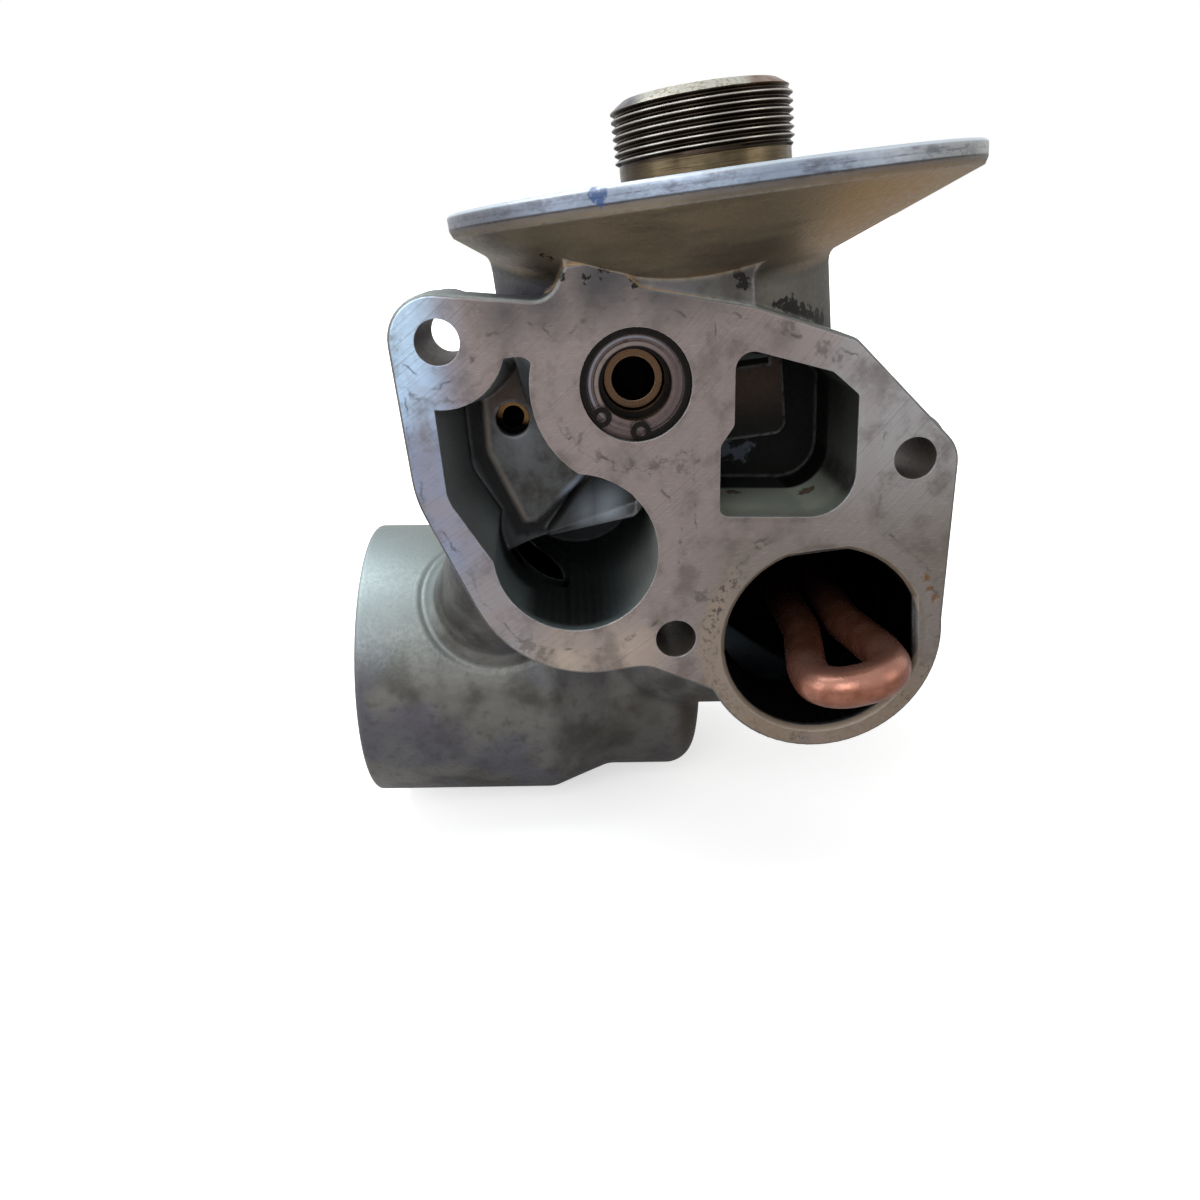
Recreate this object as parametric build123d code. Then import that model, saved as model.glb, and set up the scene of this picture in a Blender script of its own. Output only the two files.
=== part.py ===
from build123d import *
import math
import os

# Rear header of a plate-and-tube engine oil cooler, with the filter mount,
# the relief valve, the bypass valve and the coolant heater it carries.
#
# Sizes are in millimetres. The mounting face is the plane y = 0 and looks
# along -Y. The filter stands up along +Z, and X runs to the right as seen
# from the front. The origin is the centre of the relief valve's bore on
# the mounting face. Outlines are rows of (x, z, corner radius).

TINY = 0.01
FAR = 1.0

# Mounting plate
PLATE_T = 12.0
PLATE_EDGE = 0.8
PLATE_OUTLINE = [
    (-46.4, 24.2, 9.0),
    (-14.5, 17.8, 5.0),
    (-11.0, 24.0, 0),
    (-2.0, 24.0, 0),
    (3.0, 18.3, 3.0),
    (24.3, 12.1, 3.0),
    (43.8, 3.4, 4.0),
    (64.2, -21.0, 8.0),
    (60.6, -62.0, 0),
    (34.5, -70.0, 0),
    (12.5, -71.0, 0),
    (-4.5, -61.2, 8.0),
    (-33.3, -62.0, 27.0),
    (-47.6, -17.0, 25.0),
]
BOLT_HOLES = {"upper_left": (-37.1, 13.2), "right": (55.0, -22.0), "bottom": (2.5, -55.4)}
BOLT_HOLE_R = 4.4
BOLT_BOSS_R = 8.6
BOLT_BOSS_DEPTH = 24.0
CHAMFER = 0.5

# Filter mount
FILTER_X = 21.5
FILTER_Y = 34.0
FLANGE_R = 56.3
FLANGE_TOP = 35.8
RIM_PART_Z = FLANGE_TOP - 3.1
RIM_BOTTOM_Z = FLANGE_TOP - 4.5
RIM_BOTTOM_R = 55.7
FLARE_X = 13.7
FLARE_Y = 30.0
FLARE_Z = 17.0
FLARE_R = 27.0
NECK_X = 10.0
NECK_Y = 40.0
NECK_R = 37.7
NECK_BOTTOM_Z = -34.0
GUSSET_LEFT = -11.0
GUSSET_RIGHT = 24.5
GUSSET_SETBACK = 0.5
LAND_R = 42.0
ANNULUS_R = 23.5
ANNULUS_DEPTH = 7.0
INLET_HOLE_R = 6.0

# Nipple that the filter screws on to
NIPPLE_R = 19.05
NIPPLE_BAND_R = 18.3
NIPPLE_BORE_R = 14.0
NIPPLE_TOP = FLANGE_TOP + 17.2
NIPPLE_CROWN = 2.8
NIPPLE_CROWN_HEIGHT = 1.75
NIPPLE_BAND_TOP = FLANGE_TOP + 4.4
NIPPLE_BAND_LOW = FLANGE_TOP - 1.2
NIPPLE_BEVEL = 1.0
NIPPLE_SUNK = 16.0
THREAD_FIT = 0.05

# Ports in the mounting face
PORT_WALL = 4.5
BORE_WALL = 5.2
LEFT_PORT_OUTLINE = [
    (-39.7, 8.6, 0),
    (-19.2, 8.6, 3.2),
    (-19.6, -6.0, 0),
    (-3.0, -22.0, 0),
    (-2.0, -30.0, 0),
    (-16.5, -44.0, 0),
    (-27.9, -45.2, 1.5),
    (-41.0, -18.0, 9.0),
]
LEFT_PORT_DEPTH = 24.0
LEFT_PORT_TAPER = 7.0
PLATEAU_RISE = 3.0
PLATEAU_OUTLINE = [
    (-33.0, 6.0, 4.0),
    (-16.0, 11.0, 0),
    (-6.0, -17.2, 0),
    (-24.9, -31.7, 1.5),
    (-28.5, -31.6, 1.5),
    (-34.5, -13.4, 6.0),
]
BOSS_WALL_R = 13.0
VALVE_WALL_R = 21.0
DRAW_BORE_X = -16.5
DRAW_BORE_Z = -33.2
DRAW_BORE_R = 17.4
DRAW_BORE_DEPTH = 62.0
SHELF_T = 10.0
SHELF_OUTLINE = [
    (-36.0, -39.0, 0),
    (-27.5, -36.0, 1.0),
    (-22.6, -35.0, 0),
    (-3.4, -28.4, 0),
    (6.0, -20.0, 0),
    (-16.0, -5.0, 0),
    (-38.0, -20.0, 0),
]
DAM_TOP = 6.0
DAM_OUTLINE = [
    (-22.6, -35.0, 0),
    (-3.4, -28.4, 0),
    (4.0, -22.0, 0),
    (-4.0, -14.0, 0),
    (-24.5, -33.0, 0),
]
DAM_CREST_LEFT = (-22.6, 22.0, -34.2)
DAM_CREST_RIGHT = (-5.0, 8.0, -26.3)
DAM_FOOT = (-12.0, 20.0, -24.0)
DAM_STRIP_TILT = 35.0
RIGHT_PORT_OUTLINE = [
    (20.1, 5.0, 3.5),
    (38.9, -2.4, 2.5),
    (43.9, -7.6, 1.2),
    (42.2, -32.9, 9.0),
    (14.2, -29.0, 2.0),
    (15.6, -14.2, 2.0),
    (18.7, -10.4, 2.0),
]
RIGHT_PORT_DEPTH = 34.0
RIGHT_BLOCK_DEPTH = 25.0
RIGHT_BLOCK_X = 34.0
RIGHT_BLOCK_Z = -19.0
COOLANT_X = 34.5
COOLANT_Z = -60.6
COOLANT_R = 21.6
COOLANT_FLAT_TOP = 20.6
COOLANT_FLAT_RIGHT = 20.2
COOLANT_LIP = 1.0
COOLANT_DEPTH = 60.0
COOLANT_BOX_R = 26.4
COOLANT_BACK_WALL = 6.0

# Socket for the cooler tube
CUP_R = 40.0
CUP_X = -82.4
CUP_Y = 74.2
CUP_Z = -82.8
CUP_TILT = 7.3
CUP_LENGTH = 93.5
CUP_STEP_AT = 52.0
CUP_STEP_END = 68.0
CUP_END_R = 33.4
CUP_END_CHAMFER = 8.0
CUP_LIP = 1.2
CUP_STEP_ROUND = 8.0
CUP_BORES = [
    (35.2, -1.0),
    (35.2, 20.0),
    (34.2, 21.0),
    (34.2, 44.0),
    (30.0, 48.0),
    (30.0, 60.0),
    (28.0, 62.0),
    (28.0, 86.0),
]

# Oil and coolant ways between the ports and the cup
RISER_X = -8.0
RISER_Y = 48.0
LINKS = {
    "oil": {"start": (-23.2, 15.0, -28.2), "end": (-54.5, 74.2, -81.7), "open": (0.28, 0.85)},
    "coolant": {"start": (30.2, 30.0, -71.4), "end": (-24.3, 74.2, -88.5), "open": (0.0, 0.75)},
}
LINK_R = 17.0
LINK_FILLET = 4.0
LINK_BORE_R = 12.0
MIDDLE_BORE_R = 13.0
MIDDLE_BORE_END = -3.0

# Relief valve
VALVE_BORE_R = 11.15
VALVE_DEPTH = 40.0
VALVE_SEAT_R = 6.0
VALVE_SPILL = 6.0
SMALL_WAY_R = 4.0
RING_AT = 1.25
RING_T = 1.3
RING_GROOVE = 0.9
RING_WIDTH = 2.3
RING_GAP = (216.0, 270.0)
EYE_IN = 0.4
EYE_R = 2.1
EYE_HOLE_R = 0.9
RETAINER_T = 2.2
RETAINER_HOLE_R = 7.3
COLLAR_R = 7.9
COLLAR_LENGTH = 9.0
STEM_R = 6.3
STEM_BORE_R = 4.5
STEM_AT = 9.8
STEM_BORE_DEPTH = 16.0
VALVE_HEAD_R = 9.6
VALVE_HEAD_T = 5.0
VALVE_CONE = 1.0
EDGE = 0.3
VALVE_SPRING_R = 9.3
VALVE_SPRING_WIRE = 1.5
VALVE_SPRING_TURNS = 5.0
WIRE_SIDES = 8
RUN_FIT = 0.06

# Bypass valve, reached from the back
BYPASS_X = -8.0
BYPASS_Z = -4.0
BYPASS_BORE_R = 10.0
BYPASS_SEAT_Y = 60.0
BYPASS_SEAT_R = 6.0
BYPASS_WAY_AT = 4.5
BYPASS_WAY_TOP = 8.0
BYPASS_BOSS_R = 16.0
BYPASS_BACK_Y = BYPASS_SEAT_Y + 24.0
BYPASS_THREAD_R = 11.0
BYPASS_HEAD_R = 9.94
BYPASS_SKIRT = 11.0
BYPASS_WALL = 1.6
BYPASS_SPRING_R = 7.0
BYPASS_SPRING_WIRE = 1.4
BYPASS_SPRING_TURNS = 4.0
BYPASS_PLUG_SUNK = 9.0
BYPASS_PLUG_HEX = 24.0
BYPASS_PLUG_HEAD = 7.0
BYPASS_WASHER_R = 13.6
BYPASS_WASHER_T = 1.5
BYPASS_COLLAR_R = 14.0
BYPASS_COLLAR_T = 2.0
HEX_BEVEL = 1.2

# Coolant heater
HEATER_X = COOLANT_X + 5.3
HEATER_Z = COOLANT_Z - 6.6
HEATER_TILT = 5.6
TUBE_R = 4.5
LEG_SPACING = 10.4
LOOP_WIDTH = 17.0
LOOP_FRONT = -9.5
LOOP_BEND = 7.4
LOOP_WAIST = 22.0
LOOP_SHOULDER = 3.0
LOOP_SWEEP = 18.0
HEATER_THREAD_R = 12.0
HEATER_HEX = 34.0
HEATER_HEX_T = 8.0
HEATER_BOSS_R = 17.0
HEATER_BOSS_LENGTH = 12.0
HEATER_FACE_Y = COOLANT_DEPTH + HEATER_BOSS_LENGTH
LEG_SUNK = 8.0
HEATER_SEAL_T = 2.0
HEATER_SEAL_R = 15.0
SOCKET_BODY_R = 12.0
SOCKET_BODY_LENGTH = 16.0
SOCKET_WALL = 2.0
SOCKET_FLOOR = 4.0
PIN_R = 1.9
PIN_LENGTH = 9.0
PIN_CIRCLE_R = 5.0
PIN_BEVEL = 0.6

# Rounded corners of the casting: flare corners are rows of (angle round the
# neck, z), the others are rows of (x, y, z)
FLARE_FILLET = 4.0
FLARE_CORNERS = [(117.0, 27.6), (-7.0, 19.4), (-32.0, 17.9)]
CAST_FILLET = 3.0
BOSS_CORNER = 1.5
SOFT_PLACES = [
    (BYPASS_X - 5.4, BYPASS_SEAT_Y + 9.5, BYPASS_Z + 15.0),
    (-45.0, LEFT_PORT_DEPTH + PORT_WALL, -7.4),
    (RIGHT_PORT_OUTLINE[3][0] + 2.4, PLATE_T, -30.9),
    (GUSSET_RIGHT, 5.2, 14.5),
    (35.2, PLATE_T, 5.5),
]

# Oil jet in the left port's floor
JET_X = -27.0
JET_Z = -7.0
JET_R = 3.7
JET_BORE_R = 2.1
JET_START = 24.5
JET_LENGTH = 11.0
JET_WALL = 1.5
JET_BEVEL = 0.4

MOUNT = Plane.XZ
CUP_FRAME = Plane(
    origin=(CUP_X, CUP_Y, CUP_Z),
    z_dir=(math.cos(math.radians(CUP_TILT)), 0, -math.sin(math.radians(CUP_TILT))),
    x_dir=(0, 1, 0),
)


def area(corners):
    """Closed face from rows of (x, z, corner radius)."""
    points = [(x, z) for x, z, radius in corners]
    radii = [radius for x, z, radius in corners]
    return make_face(FilletPolyline(*points, radius=radii, close=True))


def at_back(sketch, depth, start=0.0):
    """Solid behind the mounting face, from start to start + depth."""
    return extrude(MOUNT.offset(-start) * sketch, -depth)


def rod(x, z, radius, start, end):
    """Round bar along Y."""
    return at_back(Pos(x, z) * Circle(radius), end - start, start)


def tube(x, z, outer, inner, start, end):
    """Round bar along Y with a hole through it."""
    return at_back(Pos(x, z) * (Circle(outer) - Circle(inner)), end - start, start)


def post(x, y, radius, bottom, top):
    """Round bar along Z."""
    return Pos(x, y, bottom) * extrude(Circle(radius), top - bottom)


def strut(start, end, radius):
    """Round bar between two points."""
    way = Vector(*end) - Vector(*start)
    frame = Plane(origin=start, z_dir=way)
    return frame * Pos(0, 0, way.length / 2) * Cylinder(radius, way.length)


def plate_sketch():
    """Outline of the mounting face."""
    return area(PLATE_OUTLINE)


def left_port_sketch():
    """Opening of the oil port round the relief valve's boss."""
    bolt_x, bolt_z = BOLT_HOLES["upper_left"]
    port = area(LEFT_PORT_OUTLINE) - Pos(bolt_x, bolt_z) * Circle(BOSS_WALL_R)
    return port - Circle(VALVE_WALL_R)


def draw_bore_sketch():
    """Machined round end of the left port."""
    return Pos(DRAW_BORE_X, DRAW_BORE_Z) * Circle(DRAW_BORE_R)


def coolant_sketch():
    """Coolant opening: a circle with a flat on top and one at the right."""
    size = 2 * COOLANT_R
    box = Pos(COOLANT_FLAT_RIGHT - COOLANT_R, COOLANT_FLAT_TOP - COOLANT_R) * Rectangle(size, size)
    return Pos(COOLANT_X, COOLANT_Z) * (Circle(COOLANT_R) & box)


def flange():
    """Filter flange: a flat rim on an oblique cone."""
    low = Pos(FLARE_X, FLARE_Y, FLARE_Z) * Circle(FLARE_R)
    high = Pos(FILTER_X, FILTER_Y, RIM_BOTTOM_Z) * Circle(RIM_BOTTOM_R)
    profile = make_face(Polyline(
        (0, RIM_BOTTOM_Z), (RIM_BOTTOM_R, RIM_BOTTOM_Z), (FLANGE_R, RIM_PART_Z),
        (FLANGE_R, FLANGE_TOP - CHAMFER), (FLANGE_R - CHAMFER, FLANGE_TOP), (0, FLANGE_TOP), close=True))
    rim = Pos(FILTER_X, FILTER_Y, 0) * revolve(Plane.XZ * profile, Axis.Z)
    return loft([low, high]) + rim


def cup():
    """Round socket that the cooler tube plugs into, closed at its far end."""
    corners = [(0, 0), (CUP_R, 0), (CUP_R, CUP_STEP_AT), (CUP_END_R, CUP_STEP_END),
               (CUP_END_R, CUP_LENGTH), (0, CUP_LENGTH)]
    radii = [0, CUP_LIP, CUP_STEP_ROUND, CUP_STEP_ROUND, CUP_END_CHAMFER, 0]
    profile = make_face(FilletPolyline(*corners, radius=radii, close=True))
    return CUP_FRAME * revolve(Plane.XZ * profile, Axis.Z)


def cup_hollow():
    """Space inside the cup: the tube's socket, the oil chamber and the coolant chamber."""
    rows = [(0, CUP_BORES[0][1])] + CUP_BORES + [(0, CUP_BORES[-1][1])]
    profile = make_face(Polyline(*rows, close=True))
    return CUP_FRAME * revolve(Plane.XZ * profile, Axis.Z)


def joined(body, piece, radius):
    """Body with a piece added, and the inside corner between them rounded."""
    both = body + piece
    return fillet(new_edges(body, piece, combined=both), radius)


def plate():
    """Mounting plate with the coolant port's ring and a rounded front edge."""
    ring = Pos(COOLANT_X, COOLANT_Z) * Circle(COOLANT_BOX_R)
    body = at_back(plate_sketch() + ring, PLATE_T)
    front = body.faces().sort_by(Axis.Y)[0]
    return fillet(front.edges(), PLATE_EDGE)


def port_boxes():
    """Walls round the ports, behind the plate."""
    inside = PLATE_T / 2
    left_box = offset(left_port_sketch() + draw_bore_sketch(), PORT_WALL)
    body = at_back(left_box, LEFT_PORT_DEPTH + PORT_WALL - inside, inside)
    body += rod(DRAW_BORE_X, DRAW_BORE_Z, DRAW_BORE_R + BORE_WALL, inside, DRAW_BORE_DEPTH + BORE_WALL)
    right_box = offset(area(RIGHT_PORT_OUTLINE), PORT_WALL)
    body += at_back(right_box, RIGHT_PORT_DEPTH + PORT_WALL - inside, inside)
    body += rod(0, 0, VALVE_BORE_R + PORT_WALL, inside, NECK_Y)
    body += rod(COOLANT_X, COOLANT_Z, COOLANT_BOX_R, inside, COOLANT_DEPTH + COOLANT_BACK_WALL)
    body += rod(JET_X, JET_Z, JET_R + PORT_WALL, inside, JET_START + JET_LENGTH)
    for x, z in BOLT_HOLES.values():
        body += rod(x, z, BOLT_BOSS_R, inside, BOLT_BOSS_DEPTH)
    return body


def filter_mount():
    """Filter flange on its neck, with the flat gusset down to the plate."""
    neck = post(NECK_X, NECK_Y, NECK_R, NECK_BOTTOM_Z, RIM_PART_Z)
    gusset_w = GUSSET_RIGHT - GUSSET_LEFT
    gusset = Box(gusset_w, NECK_Y, RIM_PART_Z, align=(Align.MIN, Align.MIN, Align.MIN))
    return flange() + neck + Pos(GUSSET_LEFT, GUSSET_SETBACK, 0) * gusset


def cup_with_links():
    """Cup with the two slanted necks that lead into it."""
    body = cup()
    for link in LINKS.values():
        body = joined(body, strut(link["start"], link["end"], LINK_R), LINK_FILLET)
    return body


def arcs_of(body, x, y, z, radius):
    """Arcs of one circle, picked out by its centre and radius."""
    centre = Vector(x, y, z)
    return body.edges().filter_by(GeomType.CIRCLE).filter_by(
        lambda edge: abs(edge.radius - radius) < TINY and (edge.arc_center - centre).length < TINY)


def nearest_edge(body, x, y, z):
    """Edge of the body that passes closest to a point."""
    return body.edges().sort_by_distance((x, y, z))[0]


def on_neck(angle, z):
    """Point on the neck's surface, from its angle round the axis and its height."""
    turn = math.radians(angle)
    return NECK_X + NECK_R * math.cos(turn), NECK_Y + NECK_R * math.sin(turn), z


def soft_corners(body):
    """Rounds the cast corners round the flare, the neck, the boxes and the bosses."""
    flare_edges = [nearest_edge(body, *on_neck(angle, z)) for angle, z in FLARE_CORNERS]
    body = fillet(flare_edges, FLARE_FILLET)
    foot_y = COOLANT_DEPTH + COOLANT_BACK_WALL
    body = fillet(arcs_of(body, NECK_X, NECK_Y, NECK_BOTTOM_Z, NECK_R), CAST_FILLET)
    body = fillet(arcs_of(body, HEATER_X, foot_y, HEATER_Z, HEATER_BOSS_R), CAST_FILLET)
    for x, y, z, radius in ((BYPASS_X, BYPASS_BACK_Y, BYPASS_Z, BYPASS_BOSS_R),
                            (HEATER_X, HEATER_FACE_Y, HEATER_Z, HEATER_BOSS_R)):
        body = fillet(arcs_of(body, x, y, z, radius), BOSS_CORNER)
    for place in SOFT_PLACES:
        body = fillet(nearest_edge(body, *place), CAST_FILLET)
    return body


def casting_outside():
    """Outer form of the casting."""
    body = plate() + port_boxes() + filter_mount()
    body += rod(BYPASS_X, BYPASS_Z, BYPASS_BOSS_R, NECK_Y, BYPASS_BACK_Y)
    body += rod(HEATER_X, HEATER_Z, HEATER_BOSS_R, COOLANT_DEPTH, HEATER_FACE_Y)
    return soft_corners(body + cup_with_links())


def left_port_hollow():
    """Tapered left port with its raised floor, its round bore and the dam between."""
    pocket = extrude(MOUNT * left_port_sketch(), -LEFT_PORT_DEPTH, taper=LEFT_PORT_TAPER)
    plateau = at_back(area(PLATEAU_OUTLINE), PLATEAU_RISE, LEFT_PORT_DEPTH - PLATEAU_RISE)
    plateau = fillet(plateau.faces().sort_by(Axis.Y)[0].edges(), PLATEAU_RISE / 2)
    dam = at_back(area(DAM_OUTLINE), LEFT_PORT_DEPTH + SHELF_T - DAM_TOP, DAM_TOP)
    left, right = Vector(*DAM_CREST_LEFT), Vector(*DAM_CREST_RIGHT)
    crest = (right - left).normalized()
    slope = crest.cross(Vector(*DAM_FOOT) - left).normalized()
    for tilt in (0, DAM_STRIP_TILT):
        away = slope.rotate(Axis((0, 0, 0), crest), tilt)
        away = away * -1 if away.Y > 0 else away
        half = Pos(0, 0, DRAW_BORE_DEPTH) * Box(*[2 * DRAW_BORE_DEPTH] * 3)
        dam -= Plane(origin=left, x_dir=crest, z_dir=away) * half
    shelf = at_back(area(SHELF_OUTLINE), SHELF_T, LEFT_PORT_DEPTH)
    bore = at_back(draw_bore_sketch(), DRAW_BORE_DEPTH)
    return pocket + (bore - shelf) - plateau - dam


def right_port_hollow():
    """Right port, deep except for the block in its upper left corner."""
    port = area(RIGHT_PORT_OUTLINE)
    far = 4 * RIGHT_PORT_DEPTH
    block = area([(RIGHT_BLOCK_X, RIGHT_BLOCK_Z, 3.0), (RIGHT_BLOCK_X, far, 0),
                  (-far, far, 0), (-far, RIGHT_BLOCK_Z, 0)])
    hollow = at_back(port, RIGHT_BLOCK_DEPTH)
    return hollow + at_back(port - block, RIGHT_PORT_DEPTH)


def coolant_hollow():
    """Coolant chamber with its chamfered mouth and the heater's threaded hole."""
    hollow = at_back(coolant_sketch(), COOLANT_DEPTH)
    mouth = MOUNT * offset(coolant_sketch(), COOLANT_LIP, kind=Kind.INTERSECTION)
    hollow += extrude(mouth, -COOLANT_LIP, taper=45)
    hollow += rod(HEATER_X, HEATER_Z, HEATER_THREAD_R + THREAD_FIT, COOLANT_DEPTH - FAR, HEATER_FACE_Y + FAR)
    return hollow


def valve_hollows():
    """Stepped bores of the relief valve and the bypass valve."""
    hollow = rod(0, 0, VALVE_BORE_R, -FAR, VALVE_DEPTH)
    hollow += rod(0, 0, VALVE_BORE_R + RING_GROOVE, RING_AT, RING_AT + RING_T)
    hollow += rod(0, 0, VALVE_SEAT_R, 0, VALVE_DEPTH + VALVE_SPILL)
    hollow += strut((0, VALVE_DEPTH + SMALL_WAY_R, 0), (RISER_X, RISER_Y, 0), SMALL_WAY_R)
    hollow += rod(BYPASS_X, BYPASS_Z, BYPASS_SEAT_R, RISER_Y, BYPASS_SEAT_Y)
    hollow += rod(BYPASS_X, BYPASS_Z, BYPASS_BORE_R, BYPASS_SEAT_Y, BYPASS_BACK_Y)
    plug_start = BYPASS_BACK_Y - BYPASS_PLUG_SUNK
    hollow += rod(BYPASS_X, BYPASS_Z, BYPASS_THREAD_R + THREAD_FIT, plug_start, BYPASS_BACK_Y + FAR)
    way_start = (BYPASS_X, BYPASS_SEAT_Y + BYPASS_WAY_AT, BYPASS_Z)
    hollow += strut(way_start, (FILTER_X, FILTER_Y, BYPASS_WAY_TOP), SMALL_WAY_R)
    return hollow


def filter_hollows():
    """Oil ways under the filter: the ring round the nipple and the middle bore."""
    floor_z = FLANGE_TOP - ANNULUS_DEPTH
    ring = Circle(LAND_R) - Circle(ANNULUS_R)
    hollow = Pos(FILTER_X, FILTER_Y, floor_z) * extrude(ring, ANNULUS_DEPTH + FAR)
    hollow += post(RISER_X, RISER_Y, INLET_HOLE_R, DRAW_BORE_Z, floor_z + FAR)
    hollow += post(FILTER_X, FILTER_Y, NIPPLE_R + THREAD_FIT, FLANGE_TOP - NIPPLE_SUNK, FLANGE_TOP + FAR)
    hollow += post(FILTER_X, FILTER_Y, MIDDLE_BORE_R, MIDDLE_BORE_END, FLANGE_TOP)
    return hollow


def make_casting():
    """The cast header with its machined faces, bores and ports."""
    body = casting_outside()
    for x, z in BOLT_HOLES.values():
        body -= rod(x, z, BOLT_HOLE_R, -FAR, BOLT_BOSS_DEPTH + FAR)
    body -= left_port_hollow()
    body -= right_port_hollow()
    body -= coolant_hollow()
    body -= valve_hollows()
    body -= filter_hollows()
    body -= cup_hollow()
    for link in LINKS.values():
        start = Vector(*link["start"])
        way = Vector(*link["end"]) - start
        first, last = link["open"]
        body -= strut(start + way * first, start + way * last, LINK_BORE_R)
    body -= rod(JET_X, JET_Z, JET_R + THREAD_FIT, PLATE_T, JET_START + JET_LENGTH + FAR)
    return body


def filter_nipple():
    """Hollow screwed nipple that carries the filter."""
    bottom = FLANGE_TOP - NIPPLE_SUNK
    crown = NIPPLE_R - NIPPLE_CROWN
    profile = make_face(Polyline(
        (NIPPLE_BORE_R, bottom), (NIPPLE_R, bottom), (NIPPLE_R, NIPPLE_BAND_LOW - NIPPLE_BEVEL),
        (NIPPLE_BAND_R, NIPPLE_BAND_LOW), (NIPPLE_BAND_R, NIPPLE_BAND_TOP - NIPPLE_BEVEL),
        (NIPPLE_R, NIPPLE_BAND_TOP), (NIPPLE_R, NIPPLE_TOP - NIPPLE_CROWN_HEIGHT),
        (crown, NIPPLE_TOP), (NIPPLE_BORE_R + NIPPLE_BEVEL, NIPPLE_TOP),
        (NIPPLE_BORE_R, NIPPLE_TOP - NIPPLE_BEVEL), close=True))
    return Pos(FILTER_X, FILTER_Y, 0) * revolve(Plane.XZ * profile, Axis.Z)


def turned(points, x=0.0, z=0.0):
    """Turned piece about an axis along Y, from (radius, y) rows."""
    profile = make_face(Polyline(*points, close=True))
    return Pos(x, 0, z) * revolve(profile, Axis.Y)


def coil(mean_r, wire, turns, start, end, x=0.0, z=0.0):
    """Compression spring along Y between two faces."""
    height = end - start - wire
    helix = Helix(height / turns, height, mean_r)
    section = Plane(origin=helix @ 0, z_dir=helix % 0) * RegularPolygon(wire / 2, WIRE_SIDES)
    spring = sweep(section, path=helix, is_frenet=True)
    return Pos(x, start + wire / 2, z) * Rot(-90, 0, 0) * spring


def relief_retaining_ring():
    """Open spring ring in the groove of the relief valve's bore."""
    outer = VALVE_BORE_R + RING_GROOVE - RUN_FIT
    ring = Circle(outer) - Circle(outer - RING_WIDTH)
    far = 2 * outer
    first = Vector(far, 0).rotate(Axis.Z, RING_GAP[0])
    last = Vector(far, 0).rotate(Axis.Z, RING_GAP[1])
    gap = make_face(Polyline((0, 0), (first.X, first.Y), (last.X, last.Y), close=True))
    ring -= gap
    for angle in RING_GAP:
        eye = Rot(0, 0, angle) * Pos(outer - RING_WIDTH - EYE_IN, 0)
        ring += eye * Circle(EYE_R)
        ring -= eye * Circle(EYE_HOLE_R)
    return at_back(ring, RING_T - 2 * RUN_FIT, RING_AT + RUN_FIT)


def relief_retainer():
    """Washer with a long collar that guides the plunger's stem."""
    washer_r = VALVE_BORE_R - RUN_FIT
    start = RING_AT + RING_T
    land = start + COLLAR_LENGTH / 2
    end = start + RETAINER_T + COLLAR_LENGTH
    guide = STEM_R + RUN_FIT
    return turned([
        (RETAINER_HOLE_R, start), (washer_r, start), (washer_r, start + RETAINER_T),
        (COLLAR_R, start + RETAINER_T), (COLLAR_R, end), (guide, end), (guide, land),
        (RETAINER_HOLE_R, land)])


def relief_plunger():
    """Poppet with a hollow stem that reaches towards the mounting face."""
    head = VALVE_DEPTH - VALVE_HEAD_T
    return turned([
        (STEM_BORE_R, STEM_AT), (STEM_R - EDGE, STEM_AT), (STEM_R, STEM_AT + EDGE), (STEM_R, head),
        (VALVE_HEAD_R, head), (VALVE_HEAD_R, VALVE_DEPTH - VALVE_CONE),
        (VALVE_HEAD_R - VALVE_CONE, VALVE_DEPTH),
        (0, VALVE_DEPTH), (0, STEM_AT + STEM_BORE_DEPTH), (STEM_BORE_R, STEM_AT + STEM_BORE_DEPTH)])


def relief_spring():
    """Spring between the retainer's washer and the plunger's head."""
    start = RING_AT + RING_T + RETAINER_T
    return coil(VALVE_SPRING_R, VALVE_SPRING_WIRE, VALVE_SPRING_TURNS, start, VALVE_DEPTH - VALVE_HEAD_T)


def bypass_poppet():
    """Cup-shaped bypass piston, closed end on its seat."""
    inner = BYPASS_HEAD_R - BYPASS_WALL
    floor_y = BYPASS_SEAT_Y + BYPASS_WALL
    end = BYPASS_SEAT_Y + BYPASS_SKIRT
    return turned([
        (0, BYPASS_SEAT_Y), (BYPASS_HEAD_R - VALVE_CONE, BYPASS_SEAT_Y),
        (BYPASS_HEAD_R, BYPASS_SEAT_Y + VALVE_CONE),
        (BYPASS_HEAD_R, end), (inner, end), (inner, floor_y), (0, floor_y)], BYPASS_X, BYPASS_Z)


def bypass_spring():
    """Spring between the bypass piston and its plug."""
    start = BYPASS_SEAT_Y + BYPASS_WALL
    end = BYPASS_BACK_Y - BYPASS_PLUG_SUNK
    return coil(BYPASS_SPRING_R, BYPASS_SPRING_WIRE, BYPASS_SPRING_TURNS, start, end, BYPASS_X, BYPASS_Z)


def bypass_washer():
    """Flat sealing washer under the bypass plug's head."""
    return tube(BYPASS_X, BYPASS_Z, BYPASS_WASHER_R, BYPASS_THREAD_R + THREAD_FIT,
                BYPASS_BACK_Y, BYPASS_BACK_Y + BYPASS_WASHER_T)


def hex_bar(x, z, across, start, end):
    """Hexagonal bar along Y with its corners turned off at the far end."""
    corner_r = across / math.sqrt(3)
    bar = at_back(Pos(x, z) * RegularPolygon(corner_r, 6), end - start, start)
    return bar & turned([(0, start), (corner_r, start), (corner_r, end - HEX_BEVEL),
                         (across / 2 - EDGE, end), (0, end)], x, z)


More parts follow.
